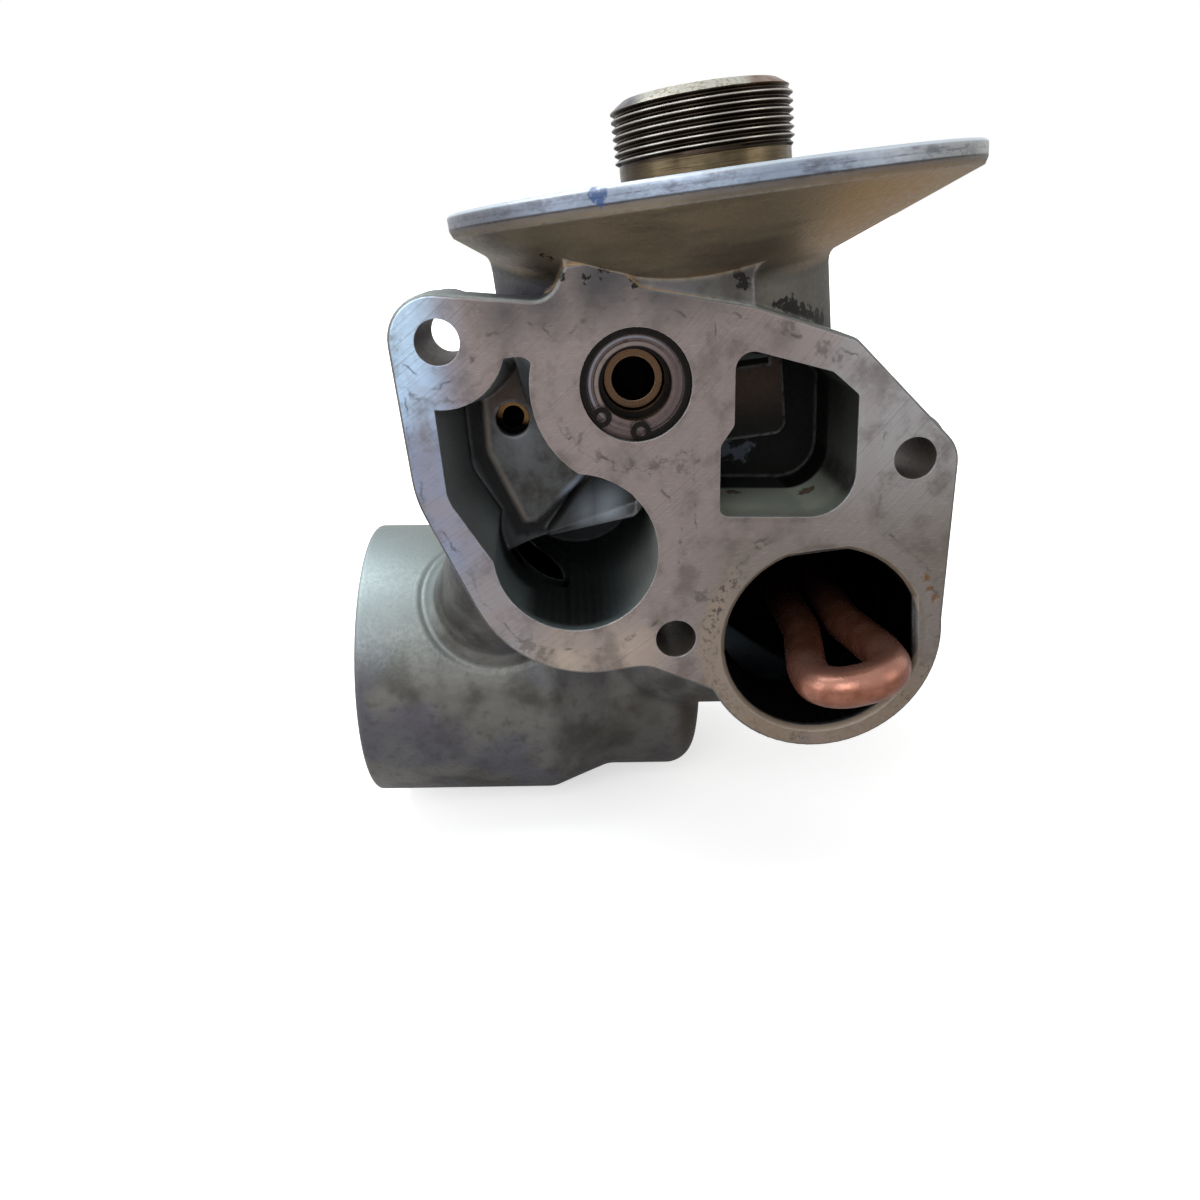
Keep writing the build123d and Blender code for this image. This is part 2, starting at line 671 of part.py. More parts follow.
def bypass_plug():
    """Hexagon plug that closes the bypass valve's bore."""
    start = BYPASS_BACK_Y - BYPASS_PLUG_SUNK
    collar_y = BYPASS_BACK_Y + BYPASS_WASHER_T
    hex_y = collar_y + BYPASS_COLLAR_T
    shank = rod(BYPASS_X, BYPASS_Z, BYPASS_THREAD_R, start, collar_y)
    collar = rod(BYPASS_X, BYPASS_Z, BYPASS_COLLAR_R, collar_y, hex_y)
    return shank + collar + hex_bar(BYPASS_X, BYPASS_Z, BYPASS_PLUG_HEX, hex_y, collar_y + BYPASS_PLUG_HEAD)


def leg_places():
    """Places (x, z) where the two legs of the heater's loop enter its plug."""
    tilt = math.radians(HEATER_TILT)
    half = LEG_SPACING / 2
    return [(HEATER_X + side * half * math.cos(tilt), HEATER_Z + side * half * math.sin(tilt))
            for side in (-1, 1)]


def heater_element():
    """Copper loop: two close legs that spread into a wide, blunt bend."""
    half = LEG_SPACING / 2
    wide = LOOP_WIDTH / 2
    end = COOLANT_DEPTH + LEG_SUNK
    one_side = [(half, end), (half, LOOP_WAIST), (wide, LOOP_SHOULDER), (wide, LOOP_FRONT)]
    other_side = [(-x, y) for x, y in reversed(one_side)]
    radii = [LOOP_SWEEP, LOOP_SWEEP, LOOP_BEND, LOOP_BEND, LOOP_SWEEP, LOOP_SWEEP]
    path = FilletPolyline(*(one_side + other_side), radius=radii)
    section = Plane(origin=path @ 0, z_dir=path % 0) * Circle(TUBE_R)
    loop = sweep(section, path=path)
    return Pos(HEATER_X, 0, HEATER_Z) * Rot(0, -HEATER_TILT, 0) * loop


def heater_plug():
    """Screwed hexagon plug with two sockets for the loop's legs."""
    head = HEATER_FACE_Y + HEATER_SEAL_T
    body = rod(HEATER_X, HEATER_Z, HEATER_THREAD_R, COOLANT_DEPTH, head)
    body += hex_bar(HEATER_X, HEATER_Z, HEATER_HEX, head, head + HEATER_HEX_T)
    for x, z in leg_places():
        body -= rod(x, z, TUBE_R + THREAD_FIT, COOLANT_DEPTH - FAR, COOLANT_DEPTH + LEG_SUNK)
    return body


def heater_seal():
    """Sealing washer under the heater plug's head."""
    return tube(HEATER_X, HEATER_Z, HEATER_SEAL_R, HEATER_THREAD_R + THREAD_FIT,
                HEATER_FACE_Y, HEATER_FACE_Y + HEATER_SEAL_T)


def heater_socket():
    """Moulded round inlet that a power lead plugs on to."""
    start = HEATER_FACE_Y + HEATER_SEAL_T + HEATER_HEX_T
    end = start + SOCKET_BODY_LENGTH
    inner = SOCKET_BODY_R - SOCKET_WALL
    body = tube(HEATER_X, HEATER_Z, SOCKET_BODY_R, inner, start, end)
    body += rod(HEATER_X, HEATER_Z, inner, start, start + SOCKET_FLOOR)
    for x, z in pin_places():
        body -= rod(x, z, PIN_R, start + SOCKET_FLOOR / 2, end)
    return body


def pin_places():
    """Places (x, z) of the inlet's three pins."""
    angles = [math.radians(90 + 120 * step) for step in range(3)]
    return [(HEATER_X + PIN_CIRCLE_R * math.cos(angle), HEATER_Z + PIN_CIRCLE_R * math.sin(angle))
            for angle in angles]


def heater_pins():
    """Three round contact pins of the inlet."""
    start = HEATER_FACE_Y + HEATER_SEAL_T + HEATER_HEX_T + SOCKET_FLOOR / 2
    pins = []
    for x, z in pin_places():
        pin = rod(x, z, PIN_R, start, start + PIN_LENGTH)
        pins.append(chamfer(pin.faces().sort_by(Axis.Y)[-1].edges(), PIN_BEVEL))
    return Compound(children=pins)


def oil_port_plug():
    """Hollow brass plug in the left port's floor."""
    end = JET_START + JET_LENGTH
    return turned([
        (JET_BORE_R + JET_BEVEL, JET_START), (JET_R, JET_START), (JET_R, end), (0, end),
        (0, end - JET_WALL), (JET_BORE_R, end - JET_WALL), (JET_BORE_R, JET_START + JET_BEVEL)],
        JET_X, JET_Z)


PIECES = {
    "header_casting": make_casting,
    "filter_nipple": filter_nipple,
    "relief_retaining_ring": relief_retaining_ring,
    "relief_retainer": relief_retainer,
    "relief_plunger": relief_plunger,
    "relief_spring": relief_spring,
    "bypass_poppet": bypass_poppet,
    "bypass_spring": bypass_spring,
    "bypass_washer": bypass_washer,
    "bypass_plug": bypass_plug,
    "heater_element": heater_element,
    "heater_plug": heater_plug,
    "heater_seal": heater_seal,
    "heater_socket": heater_socket,
    "heater_pins": heater_pins,
    "oil_port_plug": oil_port_plug,
}

os.makedirs("parts", exist_ok=True)
for name, make in PIECES.items():
    export_step(make(), f"parts/{name}.step")
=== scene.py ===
import bpy
import bmesh
import math
from mathutils import Matrix, Vector


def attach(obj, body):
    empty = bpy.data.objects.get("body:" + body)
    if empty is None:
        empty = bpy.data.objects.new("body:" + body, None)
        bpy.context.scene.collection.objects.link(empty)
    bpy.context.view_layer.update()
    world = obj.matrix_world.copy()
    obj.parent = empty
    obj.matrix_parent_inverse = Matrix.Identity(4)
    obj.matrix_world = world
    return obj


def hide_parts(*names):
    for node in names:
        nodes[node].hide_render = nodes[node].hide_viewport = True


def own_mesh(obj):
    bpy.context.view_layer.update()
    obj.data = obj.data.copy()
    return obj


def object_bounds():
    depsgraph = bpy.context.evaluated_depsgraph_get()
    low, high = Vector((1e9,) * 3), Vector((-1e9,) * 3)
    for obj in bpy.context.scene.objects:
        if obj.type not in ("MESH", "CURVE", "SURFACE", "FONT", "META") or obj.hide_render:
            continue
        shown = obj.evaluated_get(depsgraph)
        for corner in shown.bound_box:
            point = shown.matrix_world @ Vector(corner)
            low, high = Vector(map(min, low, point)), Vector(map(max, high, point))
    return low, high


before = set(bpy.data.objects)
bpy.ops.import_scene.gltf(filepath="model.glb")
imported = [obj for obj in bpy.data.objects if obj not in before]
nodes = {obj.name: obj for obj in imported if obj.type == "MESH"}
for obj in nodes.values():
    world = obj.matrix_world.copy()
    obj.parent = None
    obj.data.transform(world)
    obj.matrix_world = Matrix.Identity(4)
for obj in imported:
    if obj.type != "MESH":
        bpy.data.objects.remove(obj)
cad_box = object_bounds()
MM = 0.001

# Camera, placed as the photograph was taken
LENS = 27.52
SENSOR = 36.0
CAMERA_AT = (-8.458, -182.712, 29.268)
CAMERA_TURN = (
    (0.9914, 0.1286, 0.0221),
    (-0.0275, 0.3716, -0.9280),
    (-0.1276, 0.9194, 0.3720),
)

# Openings of the mounting face, in mm: outlines as (x, z), round ones as (x, z, radius)
LEFT_PORT = [(-39.7, 8.6), (-19.2, 8.6), (-3.0, -22.0), (-2.0, -30.0), (-16.5, -44.0), (-27.9, -45.2), (-41.0, -18.0)]
RIGHT_PORT = [(20.1, 5.0), (38.9, -2.4), (43.9, -7.6), (42.2, -32.9), (14.2, -29.0), (15.6, -14.2)]
DRAW_BORE = (-16.5, -33.2, 17.4)
COOLANT_PORT = (34.5, -60.6, 21.6)
VALVE_BORE = (0.0, 0.0, 11.15)
BOLT_HOLES = [(-37.1, 13.2, 4.4), (55.0, -22.0, 4.4), (2.5, -55.4, 4.4)]
# Walls that stand into the left port, round the valve and round the upper bolt
PORT_WALLS = [(0.0, 0.0, 21.0), (-37.1, 13.2, 13.0)]
# Floor that rises in the left port, as an outline on the mounting face
RAISED_FLOOR = [(-33.0, 6.0), (-16.0, 11.0), (-6.0, -17.2), (-24.9, -31.7), (-28.5, -31.6), (-34.5, -13.4)]

# How far the openings go in behind the mounting face, in mm, with a little to spare
LEFT_DEPTH = 25.0
DRAW_DEPTH = 62.5
RIGHT_DEPTH = 34.5
COOLANT_DEPTH = 60.5
VALVE_DEPTH = 40.5
BOLT_HOLE_DEPTH = 24.0

# Round ways through the casting: two points on the axis, then the radius, in mm
OIL_WAY = ((-23.2, 15.0, -28.2), (-54.5, 74.2, -81.7), 12.0)
COOLANT_WAY = ((30.2, 30.0, -71.4), (-24.3, 74.2, -88.5), 12.0)
# The cup's hollow in the same form, with the x where its wide part ends
CUP_WAY = ((-82.4, 74.2, -82.8), (7.9, 74.2, -94.4), 35.2)
WIDE_CUP_END = -32.0

# Planes across an axis that runs from front to back, and across an upright one
FRONT_TO_BACK = (1, 0, 1)
UPRIGHT = (1, 1, 0)
# Middle of the milling cutter's sweep, and axes of the turned pieces as (x, z), in mm
CUTTER_MIDDLE = (-150.0, 0.0, 190.0)
BYPASS_AXIS = (-8.0, -4.0)
HEATER_AXIS = (39.8, -67.2)
JET_AXIS = (-27.0, -7.0)
# Bores painted black as shade, and the depth up to which the heater's brass is painted black as shade, in mm
JET_BORE_R = 2.1
STEM_BORE_R = 4.5
STEM_END = 9.9
SHADED_DEPTH = 72.0

# Filter flange, in mm above the valve's axis
FILTER_X = 21.5
FILTER_Y = 34.0
RIM_LOW = 31.6
PARTING_HEIGHT = 32.8
WORN_HEIGHT = 34.1
SEAT_HEIGHT = 35.6
RIM_EDGE_R = 55.8

# Filter nipple, in mm
NIPPLE_R = 19.05
NIPPLE_FOOT = 19.8
COLLAR_TOP = 33.6
BAND_LOW = 34.6
BAND_R = 18.3
THREAD_PITCH = 1.5875
THREAD_DEPTH = 0.9
THREAD_LOW = 40.6
THREAD_START = THREAD_LOW - 0.4
RUN_OUT = 0.9
NIPPLE_TOP = 53.0
CROWN_LOW = 51.25
CROWN_R = 16.25
NIPPLE_BORE_R = 14.0
BORE_BEVEL = 1.0
NIPPLE_STEPS = 96
# Points closer than this are one, in mm
WELD = 0.001

# Floor: how far below the part, and half its side, in metres
FLOOR_GAP = 0.0002
FLOOR_HALF = 6.0


def colour(red, green, blue):
    """Colour as the shader wants it, from a swatch's 0 to 255 values."""
    parts = [part / 255 for part in (red, green, blue)]
    return tuple(part / 12.92 if part <= 0.04045 else ((part + 0.055) / 1.055) ** 2.4 for part in parts) + (1.0,)


class Finish:
    """A finish built up on the piece's own coordinates, which it reads in mm."""

    def __init__(self, name):
        self.material = bpy.data.materials.new(name)
        self.material.use_nodes = True
        self.tree = self.material.node_tree
        self.shader = self.tree.nodes["Principled BSDF"]
        place = self.node("ShaderNodeTexCoord")
        self.mm = self.vector("SCALE", place.outputs["Object"], scale=1 / MM)
        self.x, self.y, self.z = self.axes(self.mm)
        self.facing = place.outputs["Normal"]
        self.facing_x, self.facing_y, self.facing_z = self.axes(self.facing)

    def node(self, kind, sockets=None, **settings):
        made = self.tree.nodes.new(kind)
        for key, value in settings.items():
            setattr(made, key, value)
        for key, value in (sockets or {}).items():
            self.put(made.inputs[key], value)
        return made

    def put(self, socket, value):
        if isinstance(value, bpy.types.NodeSocket):
            self.tree.links.new(value, socket)
        else:
            socket.default_value = value

    def calc(self, operation, *values):
        made = self.node("ShaderNodeMath", operation=operation)
        for socket, value in zip(made.inputs, values):
            self.put(socket, value)
        return made.outputs[0]

    def chain(self, operation, first, *others):
        """One operation carried through a row of values."""
        for value in others:
            first = self.calc(operation, first, value)
        return first

    def times(self, *values):
        return self.chain("MULTIPLY", *values)

    def least(self, *values):
        return self.chain("MINIMUM", *values)

    def most(self, *values):
        return self.chain("MAXIMUM", *values)

    def rest(self, cover):
        """What a cover leaves free."""
        return self.calc("SUBTRACT", 1.0, cover)

    def off(self, value, middle):
        """How far a value lies from a middle one."""
        return self.calc("ABSOLUTE", self.calc("SUBTRACT", value, middle))

    def vector(self, operation, *values, scale=None):
        made = self.node("ShaderNodeVectorMath", operation=operation)
        for socket, value in zip(made.inputs, values):
            self.put(socket, value)
        if scale is not None:
            made.inputs["Scale"].default_value = scale
        return made.outputs["Value" if operation in ("DOT_PRODUCT", "DISTANCE", "LENGTH") else "Vector"]

    def axes(self, place):
        return self.node("ShaderNodeSeparateXYZ", {"Vector": place}).outputs[:]

    def fade(self, value, none, full, low=0.0, high=1.0):
        """Soft change from low, where the value is none, to high, where it is full."""
        sockets = {"Value": value, "From Min": none, "From Max": full, "To Min": low, "To Max": high}
        return self.node("ShaderNodeMapRange", sockets, interpolation_type="SMOOTHSTEP").outputs["Result"]

    def grain(self, size, detail=2.0, rough=0.5, stretch=None, at=None):
        """Noise with grains of a size in mm, drawn out by stretch."""
        place = at or self.mm
        if stretch:
            place = self.vector("DIVIDE", place, stretch)
        sockets = {"Vector": place, "Scale": 1 / size, "Detail": detail, "Roughness": rough}
        return self.node("ShaderNodeTexNoise", sockets).outputs["Fac"]

    def coat(self, under, over, cover):
        """Over laid on under, where cover is 1."""
        made = self.node("ShaderNodeMix", data_type="RGBA")
        for index, value in ((0, cover), (6, under), (7, over)):
            self.put(made.inputs[index], value)
        return made.outputs[2]

    def relief(self, height, depth, under=None):
        """Bumps of a depth in mm."""
        sockets = {"Height": height, "Distance": depth * MM}
        if under:
            sockets["Normal"] = under
        return self.node("ShaderNodeBump", sockets).outputs["Normal"]

    def ragged(self, gap, amount, size):
        """Distance with its edge made uneven."""
        return self.calc("ADD", gap, self.fade(self.grain(size, 3.0, 0.6), 0.3, 0.7, amount, -amount))

    def spots(self, rows, soft=0.4, amount=0.0, size=1.5):
        """Cover of round marks, from rows of (x, y, z, radius)."""
        nearest = self.least(*[self.calc("SUBTRACT", self.vector("DISTANCE", self.mm, middle), radius)
                               for *middle, radius in rows])
        if amount:
            nearest = self.ragged(nearest, amount, size)
        return self.fade(nearest, soft, -soft)

    def from_axis(self, centre, flatten):
        """Distance from an axis, flatten being the plane that it crosses."""
        return self.vector("DISTANCE", self.vector("MULTIPLY", self.mm, flatten), centre)

    def round_gap(self, x, z, radius):
        """Distance outside a round hole in the mounting face."""
        return self.calc("SUBTRACT", self.from_axis((x, 0.0, z), FRONT_TO_BACK), radius)

    def bar_gap(self, start, end, radius):
        """Distance outside a round way that stops at its second point."""
        run = Vector(end) - Vector(start)
        along = tuple(run.normalized())
        offset = self.vector("SUBTRACT", self.mm, start)
        side = self.calc("SUBTRACT", self.vector("LENGTH", self.vector("CROSS_PRODUCT", offset, along)), radius)
        past = self.calc("SUBTRACT", self.vector("DOT_PRODUCT", offset, along), run.length)
        return self.most(side, past)

    def looks_in(self, start, end):
        """Cover of the faces that look towards a way's axis."""
        along = tuple((Vector(end) - Vector(start)).normalized())
        offset = self.vector("SUBTRACT", self.mm, start)
        out = self.vector("CROSS_PRODUCT", along, self.vector("CROSS_PRODUCT", offset, along))
        return self.fade(self.vector("DOT_PRODUCT", self.vector("NORMALIZE", out), self.facing), -0.2, -0.5)

    def straight_gap(self, corners):
        """Distance outside a straight-sided opening with no inward corners."""
        sides = []
        for (x0, z0), (x1, z1) in zip(corners, corners[1:] + corners[:1]):
            out = Vector((z0 - z1, 0, x1 - x0)).normalized()
            if area_of(corners) > 0:
                out = -out
            across = self.vector("DOT_PRODUCT", self.mm, tuple(out))
            sides.append(self.calc("SUBTRACT", across, out.x * x0 + out.z * z0))
        return self.most(*sides)

    def rings(self, radius, size):
        """Turning marks at a distance from an axis."""
        line = self.node("ShaderNodeCombineXYZ", {"X": radius}).outputs[0]
        return self.grain(size, 2.0, 0.7, at=line)

    def rounded(self, radius):
        """Normal that turns round the edges, over a radius in metres."""
        return self.node("ShaderNodeBevel", {"Radius": radius}, samples=6).outputs["Normal"]

    def edges(self, turned):
        """Cover of the edges that a rounded normal turns round."""
        flat = self.node("ShaderNodeNewGeometry").outputs["Normal"]
        return self.fade(self.vector("DOT_PRODUCT", turned, flat), 0.995, 0.93)

    def openness(self, reach, samples):
        """1 in the open, 0 in a deep corner, judged over a reach in mm."""
        return self.node("ShaderNodeAmbientOcclusion", {"Distance": reach * MM}, samples=samples).outputs["AO"]

    def finish(self, base, rough, metal, normal=None, sheen=None):
        """Joins the finish to the shader; sheen tints what shines at a glancing angle."""
        for name, value in (("Base Color", base), ("Roughness", rough), ("Metallic", metal), ("Normal", normal),
                            ("Specular Tint", sheen)):
            if value is not None:
                self.put(self.shader.inputs[name], value)
        return self.material


def area_of(corners):
    """Twice the area of an outline, positive when it runs anticlockwise."""
    pairs = zip(corners, corners[1:] + corners[:1])
    return sum(x0 * z1 - x1 * z0 for (x0, z0), (x1, z1) in pairs)


class CastFinish(Finish):
    """Finish of the header casting, which knows where its openings and machined faces are."""

    def __init__(self, name):
        super().__init__(name)
        # Distances outside the openings and the ways, in mm
        walls = [self.times(self.round_gap(*wall), -1.0) for wall in PORT_WALLS]
        self.left = self.most(self.straight_gap(LEFT_PORT), *walls)
        self.draw = self.round_gap(*DRAW_BORE)
        self.oil_left = self.least(self.left, self.draw)
        self.oil_right = self.straight_gap(RIGHT_PORT)
        self.coolant = self.round_gap(*COOLANT_PORT)
        self.valve = self.round_gap(*VALVE_BORE)
        self.ports = self.least(self.oil_left, self.oil_right, self.coolant, self.valve)
        self.bolts = self.least(*[self.round_gap(*hole) for hole in BOLT_HOLES])
        self.oil_neck = self.bar_gap(*OIL_WAY)
        self.ways = self.least(self.oil_neck, self.bar_gap(*COOLANT_WAY))

        # Covers of the machined faces, of the ports' inside and of the flange's underside
        self.milled = self.times(self.fade(self.y, 0.3, 0.1), self.fade(self.y, -0.5, -0.3),
                                 self.fade(self.facing_y, -0.9, -0.98))
        self.seat = self.times(self.fade(self.z, SEAT_HEIGHT - 0.3, SEAT_HEIGHT), self.fade(self.facing_z, 0.8, 0.95))
        self.rim = self.times(self.fade(self.z, RIM_LOW, RIM_LOW + 0.8), self.fade(self.facing_z, -0.6, -0.2))
        holes = [self.times(self.fade(gap, 0.3, -0.1), self.fade(self.y, depth + 0.3, depth)) for gap, depth in (
            (self.left, LEFT_DEPTH), (self.draw, DRAW_DEPTH), (self.oil_right, RIGHT_DEPTH),
            (self.coolant, COOLANT_DEPTH), (self.valve, VALVE_DEPTH))]
        self.inside = self.times(self.most(*holes), self.fade(self.y, 0.3, 0.8))
        self.deep_coolant = self.times(self.fade(self.coolant, 0.5, 0.0), self.fade(self.y, 1.0, 3.0),
                                       self.fade(self.y, COOLANT_DEPTH + 0.3, COOLANT_DEPTH - 0.1))
        self.under = self.times(self.fade(self.z, 14.0, 22.0), self.fade(self.facing_z, -0.15, -0.5))

        # The cup's hollow, and the painted black shade in it and in the ways
        cup = self.bar_gap(*CUP_WAY)
        wide_part = self.times(self.fade(cup, 0.6, 0.2), self.fade(self.x, WIDE_CUP_END, WIDE_CUP_END - 0.5))
        self.hollow = self.most(wide_part, self.fade(cup, -4.4, -4.8))
        looks_in = self.most(self.looks_in(*OIL_WAY[:2]), self.looks_in(*COOLANT_WAY[:2]))
        way_walls = self.times(self.fade(self.ways, 1.8, 1.4), self.fade(self.y, 24.5, 27.5), looks_in)
        self.black_shade = self.most(self.times(self.hollow, self.fade(self.ways, 16.0, 8.0)), way_walls)
        self.unlit = self.most(self.black_shade, self.deep_coolant)

        # Grains that several coats share
        self.mottle = self.grain(2.6, 4.0, 0.6)
        self.broken = self.fade(self.grain(5.0, 3.0, 0.6), 0.5, 0.64)
        self.sweep = self.rings(self.from_axis(CUTTER_MIDDLE, FRONT_TO_BACK), 0.5)


def cast_skin(f):
    """Skin as cast: warm grey, with painted light that makes it paler and cooler where it looks up."""
    skin = f.coat(colour(70, 67, 64), colour(104, 102, 99), f.fade(f.grain(16.0, 3.0, 0.55), 0.36, 0.62))
    skin = f.coat(skin, colour(80, 78, 90), f.fade(f.grain(23.0, 2.0), 0.48, 0.62, 0.0, 0.6))
    skin = f.coat(skin, colour(56, 51, 45), f.fade(f.mottle, 0.48, 0.75, 0.0, 0.4))
    # Darker towards the cup's right, browner low on the right
    skin = f.coat(skin, colour(58, 52, 47), f.times(f.fade(f.x, -30.0, -22.0), f.fade(f.y, 36.0, 42.0), 0.32))
    skin = f.coat(skin, colour(56, 47, 38), f.times(f.fade(f.x, 1.5, 6.0), f.fade(f.z, -84.0, -88.0), 0.75))
    # Painted light: paler and cooler on the faces that look up, and a painted highlight at the cup's top left
    skin = f.coat(skin, colour(140, 150, 148), f.times(f.fade(f.facing_z, 0.1, 0.9), 0.75))
    skin = f.coat(skin, colour(176, 192, 196), f.times(f.spots([(-82, 56, -44, 11)], 24.0), 0.9))
    # Painted shade on the neck between the flange and the face, darker and bluer to the left
    neck = f.times(f.fade(f.z, 3.0, 8.0), f.fade(f.z, 24.0, 19.0), f.fade(f.y, 0.6, 2.0))
    neck_shade = f.coat(colour(98, 95, 88), colour(58, 59, 72), f.fade(f.x, 0.0, -14.0))
    skin = f.coat(skin, neck_shade, f.times(neck, 0.7))
    # Oil film under the flange, with a painted golden highlight towards its right end
    brushed = f.grain(5.0, 3.0, 0.5, (6.0, 6.0, 1.0))
    film = f.coat(colour(102, 91, 76), colour(134, 120, 98), f.fade(brushed, 0.38, 0.62))
    # Painted golden highlight at the underside's right end
    film = f.coat(film, colour(150, 112, 52), f.times(f.fade(f.x, 26.0, 44.0), f.fade(f.z, 34.0, 29.0), 0.85))
    film = f.coat(film, colour(150, 116, 70), f.times(f.fade(f.z, 20.5, 18.2), f.fade(f.x, 26.0, 22.0), 0.7))
    return f.coat(skin, film, f.under)


def milled_face(f):
    """Milled face: a painted blue reflection at the upper left, grey-pink, beige towards the bottom."""
    face = f.coat(colour(160, 157, 158), colour(134, 122, 119), f.fade(f.x, 48.0, 24.0))
    face = f.coat(face, colour(110, 101, 92), f.times(f.fade(f.z, -12.0, -46.0), f.fade(f.x, 4.0, 22.0), 0.9))
    face = f.coat(face, colour(132, 113, 90), f.fade(f.z, -62.0, -80.0, 0.0, 0.9))
    # Painted blue reflection and highlight at the upper left
    face = f.coat(face, colour(136, 142, 164), f.fade(f.x, -29.0, -43.0))
    face = f.coat(face, colour(178, 204, 232), f.times(f.fade(f.z, -9.0, 6.0), f.fade(f.x, -35.0, -43.0)))
    face = f.coat(face, colour(142, 138, 141), f.times(f.fade(f.z, -28.0, -40.0), f.fade(f.x, -22.0, -34.0)))
    face = f.coat(face, colour(176, 160, 145), f.spots([(-22, 0, -57, 5), (-8, 0, -57, 5)], 9.0))
    # Painted highlights at the upper left, beside the upper bolt hole
    face = f.coat(face, colour(180, 202, 218), f.spots([(-48, 0, 16, 3), (-44, 0, 21, 3)], 13.0))
    # Marks of the cutter, scratches and clouds
    face = f.coat(face, colour(84, 78, 76), f.fade(f.sweep, 0.45, 0.75, 0.0, 0.4))
    scratch = f.grain(0.3, 2.0, 0.5, (9.0, 1.0, 0.8))
    face = f.coat(face, colour(164, 160, 160), f.fade(scratch, 0.54, 0.76, 0.0, 0.4))
    cloud = f.grain(9.0, 5.0, 0.65)
    face = f.coat(face, colour(84, 76, 72), f.fade(cloud, 0.46, 0.66, 0.0, 0.55))
    haze = f.grain(14.0, 4.0, 0.6, (1.6, 1.0, 1.0))
    return f.coat(face, colour(148, 132, 128), f.fade(haze, 0.54, 0.68, 0.0, 0.35))


def gasket_print_and_shade(f, face):
    """Print of the gasket round each port, with a faint outer line of soot and dirt that it left, and painted shade
    below the flange.
    """
    band = f.times(f.fade(f.ports, 0.9, 1.3), f.fade(f.ragged(f.ports, 0.5, 4.0), 5.0, 4.2))
    face = f.coat(face, colour(142, 132, 132), f.times(band, 0.22))
    # Shade along the top edge, below the flange
    shade = f.spots([(-23, 0, 17, 4), (-16, 0, 19, 5), (-4, 0, 21, 7), (8, 0, 20, 7), (16, 0, 21, 7)], 7.0)
    face = f.coat(face, colour(66, 65, 68), f.times(shade, 0.9))
    outer = f.off(f.ragged(f.ports, 0.9, 6.0), 5.1)
    face = f.coat(face, colour(66, 60, 56), f.times(f.fade(outer, 0.45, 0.1), f.broken, 0.6))
    # Pale ring, pits and a creeping line round the coolant port
    pale_ring = f.times(f.fade(f.ragged(f.coolant, 0.8, 4.0), 6.2, 5.0), f.fade(f.x, 20.0, 12.0))
    face = f.coat(face, colour(140, 126, 112), f.times(pale_ring, 0.7))
    ring_gap = f.ragged(f.coolant, 0.8, 2.0)
    pits = f.times(f.fade(ring_gap, 5.6, 4.6), f.fade(ring_gap, 1.6, 2.4), f.fade(f.x, 22.0, 14.0))
    pits = f.times(pits, f.fade(f.grain(1.3, 4.0, 0.7), 0.5, 0.58), f.fade(f.z, -62.0, -50.0, 0.35, 1.0))
    face = f.coat(face, colour(44, 36, 30), f.times(pits, 0.7))
    creep = f.off(f.ragged(f.coolant, 1.6, 2.4), 3.0)
    creep = f.times(f.fade(creep, 0.35, 0.12), f.fade(f.z, -58.0, -64.0), f.fade(f.broken, 0.0, 1.0, 0.25, 1.0))
    face = f.coat(face, colour(70, 60, 48), f.times(creep, 0.7))
    # Thin dark lines below the valve and below the upper bolt
    around_valve = f.calc("ABSOLUTE", f.ragged(f.round_gap(0, 0, 16.6), 0.9, 3.0))
    around_bolt = f.calc("ABSOLUTE", f.ragged(f.round_gap(-37.1, 13.2, 11.2), 0.9, 3.0))
    lines = f.most(f.times(f.fade(around_valve, 0.28, 0.1), f.fade(f.z, -2.0, -6.0), f.fade(f.x, 13.0, 8.0)),
                   f.times(f.fade(around_bolt, 0.8, 0.2), f.fade(f.z, 8.0, 4.0), 0.7))
    face = f.coat(face, colour(72, 64, 62), f.times(lines, f.fade(f.broken, 0.0, 1.0, 0.4, 1.0), 0.75))
    smudge = f.spots([(-30, 0, -52.5, 1.6), (-27, 0, -54.5, 1.4), (2, 0, -16.5, 1.2), (7, 0, -17.5, 1.0),
                      (-3, 0, -15.4, 0.8), (37, 0, 2.2, 1.1), (40, 0, 0.2, 0.9), (30, 0, 7.4, 1.0),
                      (-12.4, 0, -9.1, 0.5), (-8.8, 0, -12.7, 0.5), (9, 0, -46, 1.3)], 0.8, 1.2, 1.4)
    return f.coat(face, colour(74, 68, 64), f.times(smudge, 0.5))


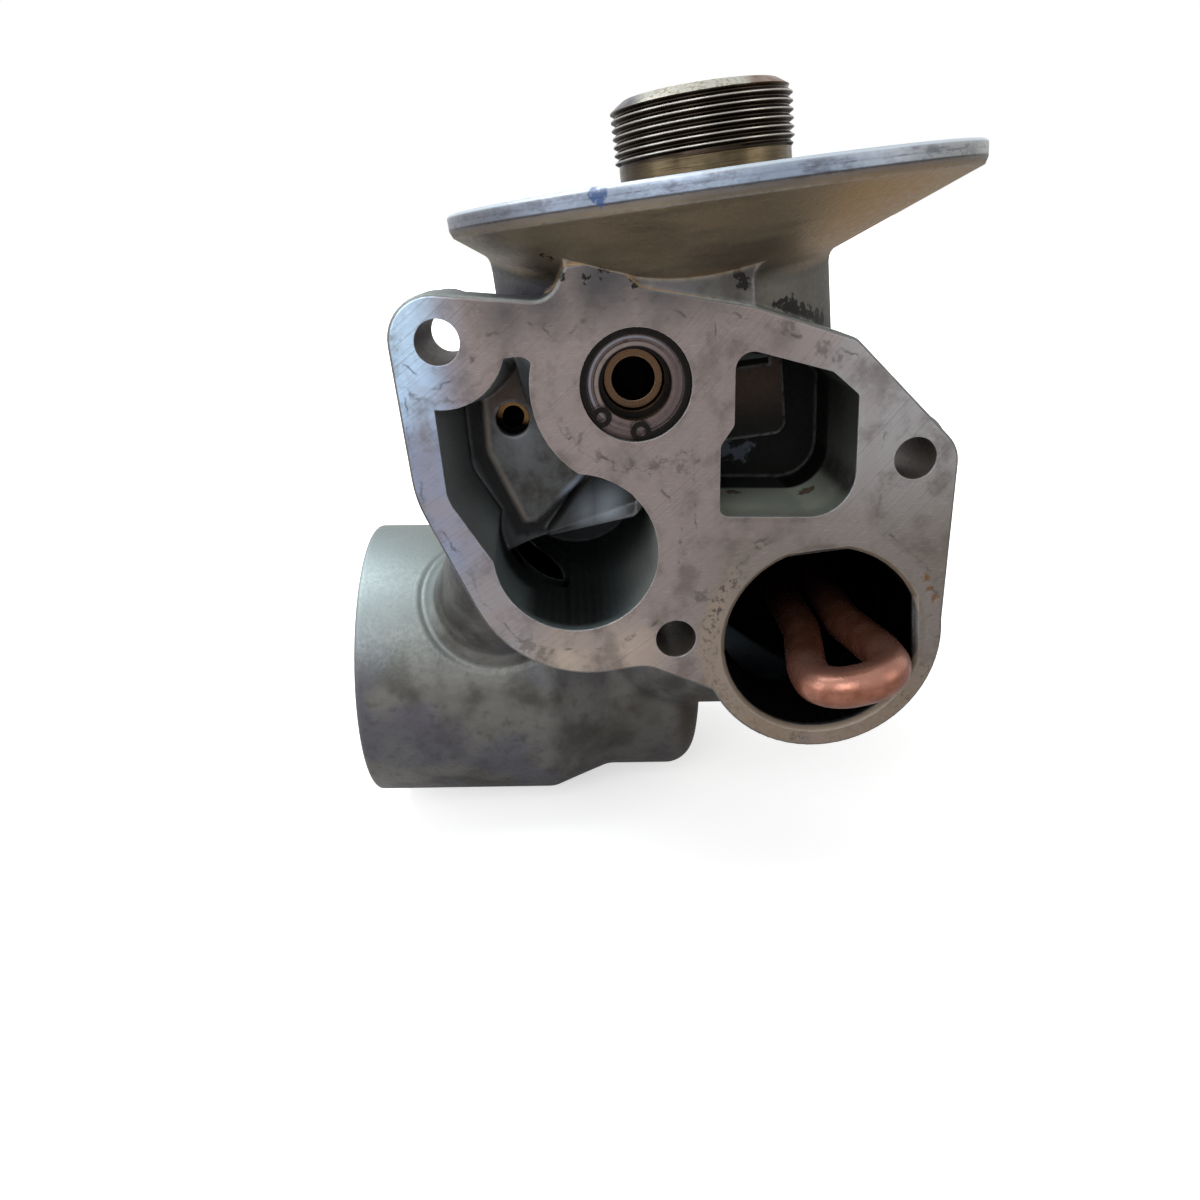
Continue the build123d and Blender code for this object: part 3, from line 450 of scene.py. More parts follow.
def left_port_walls(f, wall):
    """Walls, floor and raised floor of the left port, brown and pale in places, with painted shade and a painted
    highlight round the raised floor.
    """
    flank = f.times(f.fade(f.facing_y, -0.7, -0.4), f.fade(f.x, -14.0, -20.0))
    wall = f.coat(wall, colour(118, 122, 124), flank)
    wall = f.coat(wall, colour(84, 64, 54), f.times(f.spots([(-30, 22, 2, 8), (-25, 20, 7, 5)], 5.0), 0.6))
    wall = f.coat(wall, colour(132, 134, 142), f.times(f.spots([(-26, 21, -12, 2)], 7.0), 0.6))
    wall = f.coat(wall, colour(66, 69, 72), f.times(f.fade(f.oil_left, 0.5, 0.0), f.fade(f.y, 22.4, 23.6)))
    low_left = f.spots([(-37, 12, -30, 3), (-34, 14, -37, 3), (-31, 16, -42, 2)], 9.0)
    wall = f.coat(wall, colour(150, 162, 164), f.times(low_left, 0.8))
    # Fold round the raised floor: painted dark shade in the groove under a painted highlight on the crest
    in_left = f.fade(f.left, 0.5, 0.0)
    fold = f.straight_gap(RAISED_FLOOR)
    groove = f.times(in_left, f.fade(fold, 0.0, 0.7), f.fade(fold, 4.2, 2.2), f.fade(f.y, 20.8, 22.4))
    wall = f.coat(wall, colour(18, 17, 16), f.times(groove, 0.85))
    crest = f.times(in_left, f.fade(fold, -2.4, -0.8), f.fade(fold, 0.5, 0.1),
                    f.fade(f.y, 22.6, 21.6), f.fade(f.y, 20.4, 20.8))
    crest_highlight = f.coat(colour(146, 138, 130), colour(186, 200, 222), f.fade(f.x, -27.0, -22.0))
    crest_cover = f.most(f.fade(f.x, -24.0, -28.0), f.spots([(-15, 21, -24, 2)], 5.0))
    wall = f.coat(wall, crest_highlight, f.times(crest, crest_cover, 0.65))
    # Milled strip on the dam
    strip = f.times(f.spots([(-9, 13, -26, 4), (-14, 16, -28, 3)], 5.0), f.fade(f.facing_y, -0.1, -0.3))
    return f.coat(wall, colour(176, 184, 194), strip)


def right_port_walls(f, wall):
    """Walls of the right port: painted light low down, brown to black on its block, painted black shade behind it."""
    right = f.fade(f.oil_right, 0.5, 0.0)
    upper = f.coat(colour(62, 64, 59), colour(104, 108, 98), f.fade(f.z, -10.0, -28.0))
    wall = f.coat(wall, upper, f.times(right, f.fade(f.z, -26.0, -20.0)))
    # Painted light on the port's bottom wall
    bright = f.times(right, f.fade(f.z, -27.0, -29.5), f.fade(f.y, 32.0, 26.0),
                     f.fade(f.y, 1.0, 9.0, 0.5, 1.0), f.fade(f.x, 42.0, 35.0, 0.4, 1.0))
    wall = f.coat(wall, colour(212, 220, 206), bright)
    block = f.coat(colour(54, 42, 36), colour(14, 12, 11), f.fade(f.z, -6.0, -17.0))
    wall = f.coat(wall, block, f.times(right, f.fade(f.y, 22.5, 24.5)))
    # Painted black shade deep behind the block
    return f.coat(wall, colour(9, 9, 10), f.times(right, f.fade(f.y, 25.6, 29.0), f.fade(f.z, -29.4, -27.5)))


def bore_walls(f, wall):
    """Walls of the round bores: painted light to painted black shade in the left port's, painted black shade in the
    coolant's, dark in the valve's.
    """
    bored = f.times(f.fade(f.draw, 0.4, 0.0), f.fade(f.z, -20.0, -27.0), f.fade(f.facing_y, -0.3, -0.1))
    lit = f.coat(colour(114, 124, 128), colour(164, 168, 164), f.fade(f.x, -10.0, -1.0))
    wall = f.coat(wall, lit, bored)
    # Painted black shade deeper in the left port's bore
    from_depth = f.most(f.times(f.fade(f.y, 0.8, 4.0), f.fade(f.x, -31.0, -27.0)), f.fade(f.y, 13.0, 19.0))
    wall = f.coat(wall, colour(8, 9, 11), f.times(bored, f.fade(f.x, -3.0, -15.0), from_depth))
    wall = f.coat(wall, colour(40, 44, 48), f.times(bored, f.fade(f.y, 20.0, 45.0), 0.7))
    wall = f.coat(wall, colour(9, 8, 8), f.deep_coolant)
    return f.coat(wall, colour(40, 38, 36), f.fade(f.valve, 0.5, 0.0))


def openings(f, skin):
    """Walls of the ports, with painted shade darker as they go in, then the cup, the ways and the bolt holes."""
    wall = f.coat(colour(58, 56, 54), colour(80, 81, 81), f.fade(f.grain(5.0, 5.0, 0.65), 0.35, 0.65))
    for walls in (left_port_walls, right_port_walls, bore_walls):
        wall = walls(f, wall)
    skin = f.coat(skin, wall, f.inside)
    skin = f.coat(skin, colour(88, 88, 82), f.hollow)
    # Painted black shade in the cup and the ways, greyer towards the right
    skin = f.coat(skin, f.coat(colour(70, 77, 84), colour(7, 7, 8), f.fade(f.x, -5.0, -17.0)), f.black_shade)
    lip = f.times(f.fade(f.coolant, -0.3, 0.1), f.fade(f.coolant, 1.4, 1.1), f.fade(f.y, 1.6, 1.1))
    skin = f.coat(skin, colour(132, 119, 103), lip)
    holes = f.times(f.fade(f.bolts, 0.3, -0.1), f.fade(f.y, BOLT_HOLE_DEPTH + 0.5, BOLT_HOLE_DEPTH))
    return f.coat(skin, colour(88, 76, 68), holes)


def rim_and_seat(f, skin):
    """Turned rim with its parting line and a worn line, and the filter's seat with a painted highlight on its edge."""
    rim = f.coat(colour(108, 112, 122), colour(140, 152, 170), f.fade(f.x, -28.0, 10.0))
    rim = f.coat(rim, colour(150, 152, 152), f.fade(f.x, 30.0, 66.0))
    rim = f.coat(rim, colour(76, 76, 86), f.fade(f.grain(2.6, 5.0, 0.7, (3.0, 3.0, 1.0)), 0.47, 0.66, 0.0, 0.65))
    rim = f.coat(rim, colour(98, 86, 84), f.times(f.fade(f.z, 33.0, 32.6), 0.8))
    rim = f.coat(rim, colour(50, 44, 42), f.fade(f.off(f.z, PARTING_HEIGHT), 0.4, 0.12, 0.0, 0.85))
    worn = f.times(f.fade(f.off(f.z, WORN_HEIGHT), 0.22, 0.06), f.fade(f.broken, 0.0, 1.0, 0.3, 1.0))
    rim = f.coat(rim, colour(78, 76, 82), f.times(worn, 0.6))
    skin = f.coat(skin, rim, f.rim)
    filter_r = f.from_axis((FILTER_X, FILTER_Y, 0.0), UPRIGHT)
    lathe = f.coat(colour(172, 178, 186), colour(132, 132, 134), f.fade(f.rings(filter_r, 0.35), 0.35, 0.7))
    skin = f.coat(skin, lathe, f.seat)
    # Painted highlight along the seat's outer edge
    bright = f.times(f.fade(f.z, SEAT_HEIGHT - 0.5, SEAT_HEIGHT - 0.1), f.fade(filter_r, RIM_EDGE_R - 0.5, RIM_EDGE_R))
    skin = f.coat(skin, colour(206, 220, 232), f.times(bright, 0.85))
    blue = f.spots([(-4.0, -16.2, 34.6, 1.2), (-3.4, -16.6, 33.7, 0.9), (-2.6, -17.0, 34.9, 0.8)], 0.35, 0.4, 1.2)
    return f.coat(skin, colour(38, 66, 112), f.times(blue, 0.8))


def stains(f, base):
    """Soot flakes, rust lines and pale smears."""
    flakes = f.spots([
        (30.8, 8.5, 10.7, 1.3), (33.2, 10.3, 10.2, 1.8), (34.3, 11.2, 8.7, 2.1), (36.5, 13.2, 8.0, 1.8),
        (38.2, 14.9, 6.7, 2.0), (40.2, 17.4, 5.8, 2.0), (41.9, 19.9, 5.3, 1.8), (44.0, 23.7, 19.1, 0.9),
        (-14.3, 2.0, 24.9, 1.0), (-13.2, 1.5, 23.7, 1.1), (-11.9, 0.5, 22.3, 1.0), (-3.4, 0.2, 21.9, 0.9),
        (22.1, 0.5, 17.4, 1.2), (23.0, 0.5, 16.2, 0.8), (-26.5, 21.2, -34.6, 1.2), (-27.2, 22.4, -34.8, 1.2),
        (-7.0, 0.4, 20.9, 0.6), (1.5, 0.4, 18.8, 0.7), (4.0, 0.4, 18.3, 0.5),
    ], 0.3, 1.0, 1.3)
    base = f.coat(base, colour(20, 17, 16), f.times(flakes, f.fade(f.grain(0.8, 3.0), 0.16, 0.3), 0.95))
    rust = f.spots([(57.4, 0, -48.7, 0.7), (58.2, 0, -51.0, 0.6), (59.0, 0, -53.5, 0.7), (57.8, 0, -58.0, 0.5),
                    (44.5, 16, -31.5, 0.9), (20.0, 20, -30.5, 1.6), (36.3, 18, -31.0, 1.9)], 0.4, 0.7, 1.5)
    base = f.coat(base, colour(108, 72, 34), f.times(rust, 0.8))
    smear = f.spots([(21.0, 34, -23.0, 2.0), (24.5, 34, -24.5, 1.6), (27.0, 34, -22.5, 1.0)], 0.8, 1.4, 1.6)
    return f.coat(base, colour(84, 90, 104), f.times(smear, 0.6))


def corner_shade_and_wear(f, base, turned):
    """Painted shade in the corners, an oily seam under the flange and bare metal on the edges."""
    edge = f.edges(turned)
    openness = f.openness(5.0, 5)
    open_metal = f.rest(f.unlit)
    # Painted shade: darker where the corners shut out the room, less so inside the ports
    corner_shade = f.times(f.fade(openness, 0.75, 0.25), f.rest(f.milled), f.fade(f.inside, 0.0, 1.0, 1.0, 0.6), open_metal)
    base = f.coat(base, colour(30, 26, 22), f.times(corner_shade, f.fade(f.mottle, 0.3, 0.6, 0.45, 0.85)))
    seam = f.times(edge, f.fade(openness, 0.85, 0.6), f.fade(f.z, 12.0, 15.0), f.fade(f.z, 32.0, 30.0),
                   f.fade(f.y, 40.0, 30.0))
    base = f.coat(base, colour(176, 138, 84), f.times(seam, 0.8))
    bare = f.times(edge, open_metal, f.fade(openness, 0.5, 0.8), f.fade(f.grain(1.6, 2.0), 0.3, 0.55, 0.3, 0.9))
    return f.coat(base, colour(176, 178, 182), f.times(bare, 0.5))


def cast_and_milled():
    """Die-cast aluminium with a milled face, gasket prints, oil film, soot flakes, and painted light and shade."""
    f = CastFinish("cast_and_milled_aluminium")
    skin = rim_and_seat(f, openings(f, cast_skin(f)))
    face = gasket_print_and_shade(f, milled_face(f))
    turned = f.rounded(f.fade(f.milled, 0.0, 1.0, 1.3 * MM, 0.25 * MM))
    base = corner_shade_and_wear(f, stains(f, f.coat(skin, face, f.milled)), turned)

    # Pebbled skin with ridges on the cup's neck, and the cutter's marks on the milled face
    pebble = f.grain(1.0, 4.0, 0.55)
    ridges = f.times(f.calc("SINE", f.times(f.oil_neck, 1.35)), f.fade(f.oil_neck, 10.5, 6.5),
                     f.fade(f.y, 34.0, 38.0), f.fade(f.z, -42.0, -46.0))
    cast_bump = f.relief(ridges, 0.45, f.relief(pebble, 0.07, turned))
    mill_bump = f.relief(f.sweep, 0.01, turned)
    normal = f.node("ShaderNodeMix", {0: f.most(f.milled, f.seat), 4: cast_bump, 5: mill_bump}, data_type="VECTOR")
    rough = f.fade(pebble, 0.3, 0.7, 0.46, 0.58)
    rough = f.calc("SUBTRACT", rough, f.times(f.most(f.milled, f.rim), 0.14))
    rough = f.calc("SUBTRACT", rough, f.times(f.most(f.deep_coolant, f.under), 0.12))

    # Painted black shade inside, without the white sheen that metal has at a glancing angle
    metal = f.fade(f.unlit, 0.0, 1.0, 0.75, 1.0)
    sheen = f.coat((1.0, 1.0, 1.0, 1.0), (0.0, 0.0, 0.0, 1.0), f.unlit)
    return f.finish(base, rough, metal, normal.outputs[1], sheen)


def threaded_steel():
    """Plated steel, gone olive gold, with painted highlights on the thread's crests and painted shade in its grooves
    and on its left side.
    """
    f = Finish("threaded_steel")
    radius = f.from_axis((FILTER_X, FILTER_Y, 0.0), UPRIGHT)
    turning = f.grain(0.3, 3.0, 0.6, (24.0, 24.0, 1.0))
    streak = f.grain(6.0, 3.0, 0.5)
    gold = f.coat(colour(82, 73, 57), colour(110, 97, 76), f.fade(streak, 0.3, 0.7))
    gold = f.coat(gold, colour(72, 58, 40), f.fade(turning, 0.45, 0.7, 0.0, 0.8))
    # Painted shade on the left side
    gold = f.coat(gold, colour(40, 34, 30), f.fade(f.x, 10.0, 5.0, 0.0, 0.7))
    crown = f.fade(f.z, 50.9, 51.4)
    pale = f.coat(colour(190, 190, 180), colour(146, 138, 116), f.fade(f.grain(0.7, 3.0), 0.45, 0.7))
    pale = f.coat(pale, colour(112, 86, 62), f.fade(f.x, 27.0, 31.0))
    # Painted shade on the crown's left side
    pale = f.coat(pale, colour(84, 82, 92), f.fade(f.x, 9.5, 6.0))
    gold = f.coat(gold, pale, crown)
    threads = f.times(f.fade(f.z, THREAD_LOW - 0.5, THREAD_LOW), f.rest(crown))
    steel = f.coat(colour(86, 79, 72), colour(60, 53, 46), f.fade(f.grain(4.0, 4.0, 0.6), 0.35, 0.65))
    steel = f.coat(steel, colour(74, 56, 44), f.times(f.fade(f.x, 24.0, 36.0), 0.5))
    # Crests pale with a painted highlight, grooves dark with painted shade
    steel = f.coat(steel, colour(196, 192, 184), f.fade(radius, NIPPLE_R - 0.25, NIPPLE_R - 0.05, 0.0, 0.75))
    steel = f.coat(steel, colour(44, 36, 29), f.fade(radius, NIPPLE_R - 0.3, NIPPLE_R - 0.7, 0.0, 0.85))
    base = f.coat(gold, steel, threads)
    base = f.coat(base, colour(66, 58, 48), f.fade(radius, NIPPLE_BORE_R + 0.6, NIPPLE_BORE_R + 0.1))
    normal = f.relief(turning, 0.02, f.rounded(0.12 * MM))
    return f.finish(base, f.fade(f.grain(3.0, 3.0), 0.3, 0.7, 0.26, 0.42), 1.0, normal)


def turned_steel(name, light, dark, tint, axis=(0.0, 0.0), bore=0.0, half_dark=False):
    """Turned steel with rings round an axis that runs front to back, given as (x, z)."""
    f = Finish(name)
    radius = f.from_axis((axis[0], 0.0, axis[1]), FRONT_TO_BACK)
    marks = f.rings(radius, 0.16)
    base = f.coat(light, dark, f.fade(marks, 0.38, 0.66))
    base = f.coat(base, tint, f.times(f.fade(f.grain(2.5, 4.0, 0.6), 0.5, 0.7), 0.55))
    turned = f.rounded(0.15 * MM)
    base = f.coat(base, colour(170, 162, 154), f.times(f.edges(turned), 0.25))
    # Painted shade in the corners
    base = f.coat(base, colour(30, 26, 24), f.fade(f.openness(1.6, 6), 0.7, 0.25, 0.0, 0.85))
    # Painted black shade over the lower half
    if half_dark:
        low = f.calc("ADD", f.calc("SUBTRACT", f.z, axis[1]), f.times(f.calc("SUBTRACT", f.x, axis[0]), 0.4))
        base = f.coat(base, colour(9, 8, 7), f.fade(low, 0.4, -1.4))
    # Painted black shade down the bore
    if bore:
        down_bore = f.times(f.fade(radius, bore + 0.15, bore), f.fade(f.y, STEM_END, STEM_END + 0.7))
        base = f.coat(base, colour(5, 5, 6), down_bore)
    return f.finish(base, f.fade(f.grain(1.2, 3.0), 0.3, 0.7, 0.22, 0.38), 1.0, f.relief(marks, 0.01, turned))


def valve_washer():
    """Pink-grey washer with turned rings, with painted light towards the upper left and painted shade down its bore.
    """
    f = Finish("valve_washer_steel")
    radius = f.from_axis((0.0, 0.0, 0.0), FRONT_TO_BACK)
    marks = f.rings(radius, 0.2)
    base = f.coat(colour(112, 98, 98), colour(78, 66, 64), f.fade(marks, 0.36, 0.66))
    base = f.coat(base, colour(56, 46, 42), f.fade(f.grain(2.5, 4.0, 0.6), 0.54, 0.7, 0.0, 0.6))
    # Rings of painted highlight and shade, strongest towards the upper left
    upper_left = f.fade(f.calc("SUBTRACT", f.z, f.x), -7.0, 10.0, 0.12, 1.0)
    for ring, half, tone, cover in ((7.8, 0.45, colour(136, 126, 120), 0.7), (8.35, 0.12, colour(34, 29, 28), 0.8),
                                    (9.1, 0.26, colour(134, 140, 154), 0.75), (9.6, 0.14, colour(44, 38, 36), 0.7)):
        base = f.coat(base, tone, f.times(f.fade(f.off(radius, ring), half, half * 0.5), upper_left, cover))
    # Painted shade in the sunk ring and down the collar's bore
    sunk = f.times(f.fade(f.y, 4.2, 4.9), f.fade(radius, 8.4, 7.9))
    collar_bore = f.times(f.fade(radius, 7.42, 7.34), f.fade(f.y, 2.2, 2.8), 0.9)
    base = f.coat(base, colour(34, 31, 30), f.most(sunk, collar_bore))
    return f.finish(base, f.fade(f.grain(1.2, 3.0), 0.3, 0.7, 0.26, 0.4), 1.0, f.relief(marks, 0.01))


def oxidised_copper():
    """Copper tube with a brown skin, a painted pink highlight on its high side and painted shade below and deeper in.
    """
    f = Finish("oxidised_copper")
    cloud = f.grain(5.0, 4.0, 0.6)
    base = f.coat(colour(156, 104, 86), colour(122, 74, 54), f.fade(cloud, 0.3, 0.7))
    # Painted pink highlight on the upward faces at the front
    base = f.coat(base, colour(166, 122, 108), f.times(f.fade(f.facing_z, 0.1, 0.8), f.fade(f.y, 6.0, -2.0), 0.6))
    # Painted shade on the downward faces
    base = f.coat(base, colour(118, 68, 42), f.times(f.fade(f.facing_z, -0.3, -0.9), 0.6))
    speck = f.grain(0.7, 3.0, 0.7)
    base = f.coat(base, colour(84, 52, 42), f.fade(speck, 0.6, 0.74, 0.0, 0.5))
    # Painted shade deeper in the port
    base = f.coat(base, colour(44, 30, 26), f.fade(f.y, 10.0, 42.0, 0.0, 0.9))
    scuff = f.grain(0.5, 2.0, 0.5, (1.0, 6.0, 1.0))
    normal = f.relief(scuff, 0.02, f.relief(speck, 0.03))
    return f.finish(base, f.fade(cloud, 0.3, 0.7, 0.22, 0.34), 0.7, normal)


def old_brass(name, axis, shaded_from=None):
    """Brass with turning rings, painted black as shade in front of a depth."""
    f = Finish(name)
    marks = f.rings(f.from_axis((axis[0], 0.0, axis[1]), FRONT_TO_BACK), 0.2)
    base = f.coat(colour(172, 142, 84), colour(128, 98, 52), f.fade(marks, 0.35, 0.7))
    base = f.coat(base, colour(70, 54, 34), f.fade(f.grain(3.5, 4.0, 0.6), 0.48, 0.72, 0.0, 0.5))
    turned = f.rounded(0.15 * MM)
    base = f.coat(base, colour(216, 188, 128), f.times(f.edges(turned), 0.6))
    if shaded_from:
        base = f.coat(base, colour(7, 6, 6), f.fade(f.y, shaded_from + 2.0, shaded_from))
    return f.finish(base, f.fade(f.grain(0.8, 3.0), 0.3, 0.7, 0.26, 0.46), 1.0, f.relief(marks, 0.015, turned))


def spring_wire():
    """Drawn steel wire, grey with brown patches."""
    f = Finish("spring_wire")
    drawn = f.grain(0.4, 3.0, 0.6)
    base = f.coat(colour(96, 92, 88), colour(56, 52, 50), f.fade(drawn, 0.35, 0.65))
    base = f.coat(base, colour(84, 62, 44), f.fade(f.grain(2.0, 3.0), 0.55, 0.7, 0.0, 0.5))
    return f.finish(base, f.fade(drawn, 0.3, 0.7, 0.3, 0.45), 1.0, f.relief(drawn, 0.02))


def moulded_plastic():
    """Black moulded inlet with a faint sparked texture."""
    f = Finish("moulded_plastic")
    spark = f.grain(0.35, 3.0, 0.7)
    dust = f.times(f.fade(f.grain(3.0, 4.0, 0.6), 0.5, 0.7), f.fade(f.facing_z, 0.0, 0.8))
    base = f.coat(colour(30, 30, 31), colour(44, 43, 42), f.fade(spark, 0.35, 0.65))
    base = f.coat(base, colour(104, 98, 88), f.times(dust, 0.4))
    turned = f.rounded(0.3 * MM)
    base = f.coat(base, colour(74, 74, 74), f.times(f.edges(turned), 0.4))
    return f.finish(base, f.fade(spark, 0.3, 0.7, 0.42, 0.58), 0.0, f.relief(spark, 0.03, turned))


def ring_of(shape, loop):
    """Next ring down or in, extruded from an open ring of edges."""
    made = bmesh.ops.extrude_edge_only(shape, edges=loop)["geom"]
    return [part for part in made if isinstance(part, bmesh.types.BMEdge)]


def set_ring(loop, radius, height):
    """Puts a ring's points at one radius and one height, in mm round the filter's axis."""
    for point in {end for edge in loop for end in edge.verts}:
        flat = Vector((point.co.x, point.co.y, 0)).normalized() * radius
        point.co = (flat.x, flat.y, height)


def screw_thread():
    """Outer thread, spun one pitch up per turn and trimmed to the crown and the band."""
    turns = math.ceil((NIPPLE_TOP - THREAD_LOW) / THREAD_PITCH) + 2
    start = THREAD_LOW - 2 * THREAD_PITCH
    crest = 0.14 * THREAD_PITCH
    root_r = NIPPLE_R - THREAD_DEPTH
    profile = ((NIPPLE_R, 0), (NIPPLE_R, crest), (root_r, THREAD_PITCH / 2), (root_r, THREAD_PITCH / 2 + crest))
    shape = bmesh.new()
    points = []
    for turn in range(turns):
        for radius, rise in profile:
            points.append(shape.verts.new((radius, 0, start + turn * THREAD_PITCH + rise)))
    points.append(shape.verts.new((NIPPLE_R, 0, start + turns * THREAD_PITCH)))
    edges = [shape.edges.new(pair) for pair in zip(points, points[1:])]
    bmesh.ops.spin(shape, geom=points + edges, cent=(0, 0, 0), axis=(0, 0, 1), angle=math.tau,
                   steps=NIPPLE_STEPS, dvec=(0, 0, THREAD_PITCH / NIPPLE_STEPS), use_merge=False)
    bmesh.ops.remove_doubles(shape, verts=shape.verts, dist=WELD)
    for point in shape.verts:
        trim_to_blank(point)
    bmesh.ops.remove_doubles(shape, verts=shape.verts, dist=WELD)
    bmesh.ops.dissolve_degenerate(shape, edges=shape.edges, dist=WELD)
    return shape


def trim_to_blank(point):
    """Keeps a point of the thread inside the turned blank: crown above, band below."""
    radius = math.hypot(point.co.x, point.co.y)
    height = min(max(point.co.z, THREAD_START), NIPPLE_TOP)
    slope = (NIPPLE_R - CROWN_R) / (NIPPLE_TOP - CROWN_LOW)
    fit = min(radius, NIPPLE_R - max(0.0, height - CROWN_LOW) * slope)
    run_out = min(1.0, max(0.0, (height - THREAD_START) / RUN_OUT))
    fit = BAND_R + (fit - BAND_R) * run_out
    if height >= NIPPLE_TOP:
        fit = CROWN_R
    point.co = (point.co.x * fit / radius, point.co.y * fit / radius, height)


def filter_nipple():
    """Hollow screwed nipple that replaces the plain one."""
    shape = screw_thread()
    open_edges = [edge for edge in shape.edges if edge.is_boundary]
    middle = (THREAD_LOW + NIPPLE_TOP) / 2
    lower = [edge for edge in open_edges if edge.verts[0].co.z < middle]
    upper = [edge for edge in open_edges if edge.verts[0].co.z >= middle]
    set_ring(lower, BAND_R, THREAD_START)
    for radius, height in ((BAND_R, BAND_LOW), (NIPPLE_R, COLLAR_TOP), (NIPPLE_R, NIPPLE_FOOT),
                           (NIPPLE_BORE_R, NIPPLE_FOOT), (NIPPLE_BORE_R, NIPPLE_TOP - BORE_BEVEL),
                           (NIPPLE_BORE_R + BORE_BEVEL, NIPPLE_TOP), (CROWN_R, NIPPLE_TOP)):
        lower = ring_of(shape, lower)
        set_ring(lower, radius, height)
    set_ring(upper, CROWN_R, NIPPLE_TOP)
    bmesh.ops.remove_doubles(shape, verts=shape.verts, dist=WELD)
    bmesh.ops.recalc_face_normals(shape, faces=shape.faces)
    bmesh.ops.translate(shape, verts=shape.verts, vec=(FILTER_X, FILTER_Y, 0))
    bmesh.ops.scale(shape, verts=shape.verts, vec=(MM, MM, MM))
    piece = finished(shape, "filter_nipple_threaded", 32)
    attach(piece, "header")
    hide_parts("filter_nipple")
    piece.data.materials.append(threaded_steel())


def finished(shape, name, sharp):
    """Object from a bmesh, smooth but for edges sharper than an angle in degrees."""
    mesh = bpy.data.meshes.new(name)
    for facet in shape.faces:
        facet.smooth = True
    shape.to_mesh(mesh)
    shape.free()
    mesh.set_sharp_from_angle(angle=math.radians(sharp))
    piece = bpy.data.objects.new(name, mesh)
    bpy.context.scene.collection.objects.link(piece)
    return piece


def pressed_spring(node, wire):
    """The CAD coil, closed up, as a piece of its own in place of the node."""
    shape = bmesh.new()
    shape.from_mesh(nodes[node].data)
    bmesh.ops.remove_doubles(shape, verts=shape.verts, dist=WELD * MM)
    piece = finished(shape, node + "_coil", 50)
    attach(piece, "header")
    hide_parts(node)
    piece.data.materials.clear()
    piece.data.materials.append(wire)
    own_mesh(piece)


def dress(material, *names):
    """Puts a finish on every slot of some CAD nodes."""
    for name in names:
        for slot in nodes[name].material_slots:
            slot.material = material


def dress_all():
    dress(cast_and_milled(), "header_casting")
    dress(valve_washer(), "relief_retainer")
    dress(turned_steel("bronze_tinted_stem", colour(114, 88, 66), colour(80, 61, 48), colour(84, 76, 68),
                       bore=STEM_BORE_R), "relief_plunger")
    dress(turned_steel("dark_ring_steel", colour(42, 38, 38), colour(24, 22, 22), colour(38, 30, 26)),
          "relief_retaining_ring")
    dress(turned_steel("plated_steel", colour(160, 158, 148), colour(136, 133, 122), colour(128, 118, 96),
                       BYPASS_AXIS), "bypass_plug", "bypass_poppet")
    dress(turned_steel("dark_jet", colour(128, 96, 56), colour(82, 62, 42), colour(44, 34, 26),
                       JET_AXIS, JET_BORE_R, half_dark=True), "oil_port_plug")
    dress(oxidised_copper(), "heater_element")
    dress(old_brass("plug_brass", HEATER_AXIS, SHADED_DEPTH), "heater_plug", "heater_pins")
    dress(old_brass("washer_copper", BYPASS_AXIS), "bypass_washer", "heater_seal")
    dress(moulded_plastic(), "heater_socket")


def place_camera():
    data = bpy.data.cameras.new("camera")
    data.lens = LENS
    data.sensor_width = SENSOR
    data.clip_start = 5.0 * MM
    camera = bpy.data.objects.new("camera", data)
    turn = Matrix(CAMERA_TURN).to_quaternion().to_matrix().to_4x4()
    camera.matrix_world = Matrix.Translation(Vector(CAMERA_AT) * MM) @ turn
    bpy.context.scene.collection.objects.link(camera)
    bpy.context.scene.camera = camera


def area_light(name, at, look, size, power, tint=(1, 1, 1)):
    """Softbox at a place, turned to look at another; metres and watts."""
    data = bpy.data.lights.new(name, "AREA")
    data.shape = "RECTANGLE"
    data.size, data.size_y = size
    data.energy = power
    data.color = tint
    lamp = bpy.data.objects.new(name, data)
    lamp.location = at
    lamp.rotation_euler = (Vector(look) - Vector(at)).to_track_quat("-Z", "Y").to_euler()
    bpy.context.scene.collection.objects.link(lamp)


def seen_directly(tree):
    """1 for rays from the camera, off metal and through glass, otherwise 0."""
    rays = tree.nodes.new("ShaderNodeLightPath")
    total = rays.outputs["Is Camera Ray"]
    for name in ("Is Glossy Ray", "Is Transmission Ray"):
        add = tree.nodes.new("ShaderNodeMath")
        add.operation = "MAXIMUM"
        tree.links.new(total, add.inputs[0])
        tree.links.new(rays.outputs[name], add.inputs[1])
        total = add.outputs[0]
    return total


def ranged(tree, value, low, high, start=0.0, end=1.0):
    """Even change from low, where the value is start, to high, where it is end."""
    made = tree.nodes.new("ShaderNodeMapRange")
    for name, number in (("From Min", start), ("From Max", end), ("To Min", low), ("To Max", high)):
        made.inputs[name].default_value = number
    tree.links.new(value, made.inputs["Value"])
    return made.outputs["Result"]


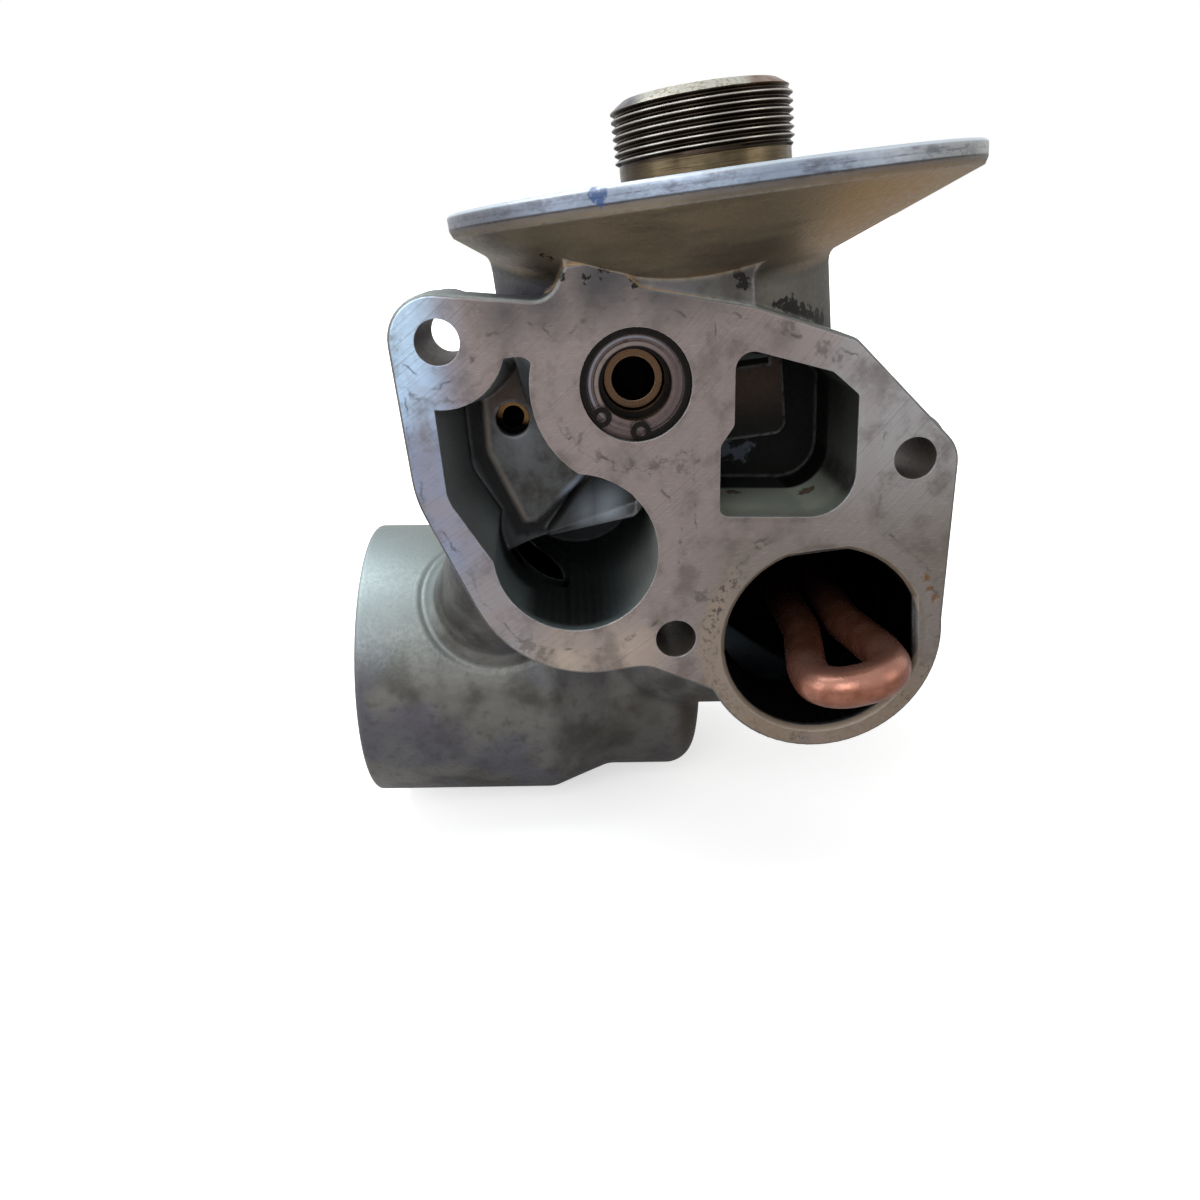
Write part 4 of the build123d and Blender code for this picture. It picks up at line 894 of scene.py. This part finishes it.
def light_room():
    """Four softboxes in a white room that lights the part less than it shows."""
    area_light("softbox_front", (-0.25, -0.7, 0.4), (0, 0.0, -0.03), (0.5, 0.5), 3.1)
    area_light("softbox_top", (-0.3, 0.05, 0.6), (0, 0.02, -0.02), (0.4, 0.4), 2.3, (0.95, 0.98, 1.0))
    area_light("softbox_left", (-0.65, -0.2, 0.2), (0, 0.02, -0.03), (0.3, 0.5), 1.1, (0.9, 0.95, 1.0))
    area_light("softbox_right", (0.6, -0.3, 0.2), (0, 0.02, -0.03), (0.3, 0.4), 0.6, (1.0, 0.95, 0.88))
    world = bpy.data.worlds.new("room")
    world.use_nodes = True
    tree = world.node_tree
    background = tree.nodes["Background"]
    background.inputs["Color"].default_value = (1, 1, 1, 1)
    tree.links.new(ranged(tree, seen_directly(tree), 0.4, 1.0), background.inputs["Strength"])
    bpy.context.scene.world = world


def lay_floor():
    """Pale floor that fades into the white room and keeps the shadow."""
    shape = bmesh.new()
    bmesh.ops.create_grid(shape, x_segments=1, y_segments=1, size=FLOOR_HALF)
    bmesh.ops.translate(shape, verts=shape.verts, vec=(0, 0, cad_box[0][2] - FLOOR_GAP))
    mesh = bpy.data.meshes.new("floor")
    shape.to_mesh(mesh)
    shape.free()
    floor = bpy.data.objects.new("floor", mesh)
    bpy.context.scene.collection.objects.link(floor)
    material = bpy.data.materials.new("pale_floor")
    material.use_nodes = True
    tree = material.node_tree
    shader = tree.nodes["Principled BSDF"]
    shader.inputs["Base Color"].default_value = (0.8, 0.8, 0.8, 1)
    shader.inputs["Roughness"].default_value = 0.9
    shader.inputs["Specular IOR Level"].default_value = 0.1
    shader.inputs["Emission Color"].default_value = (1, 1, 1, 1)
    # Glow that only the camera sees, stronger away from the part
    place = tree.nodes.new("ShaderNodeTexCoord")
    away = tree.nodes.new("ShaderNodeVectorMath")
    away.operation = "LENGTH"
    tree.links.new(place.outputs["Object"], away.inputs[0])
    glow = tree.nodes.new("ShaderNodeMath")
    glow.operation = "MULTIPLY"
    tree.links.new(ranged(tree, away.outputs["Value"], 0.5, 1.6, start=0.12, end=0.5), glow.inputs[0])
    rays = tree.nodes.new("ShaderNodeLightPath")
    tree.links.new(rays.outputs["Is Camera Ray"], glow.inputs[1])
    tree.links.new(glow.outputs[0], shader.inputs["Emission Strength"])
    mesh.materials.append(material)


place_camera()
light_room()
lay_floor()
dress_all()
filter_nipple()
wire = spring_wire()
pressed_spring("relief_spring", wire)
pressed_spring("bypass_spring", wire)

view = bpy.context.scene.view_settings
view.view_transform = "Standard"
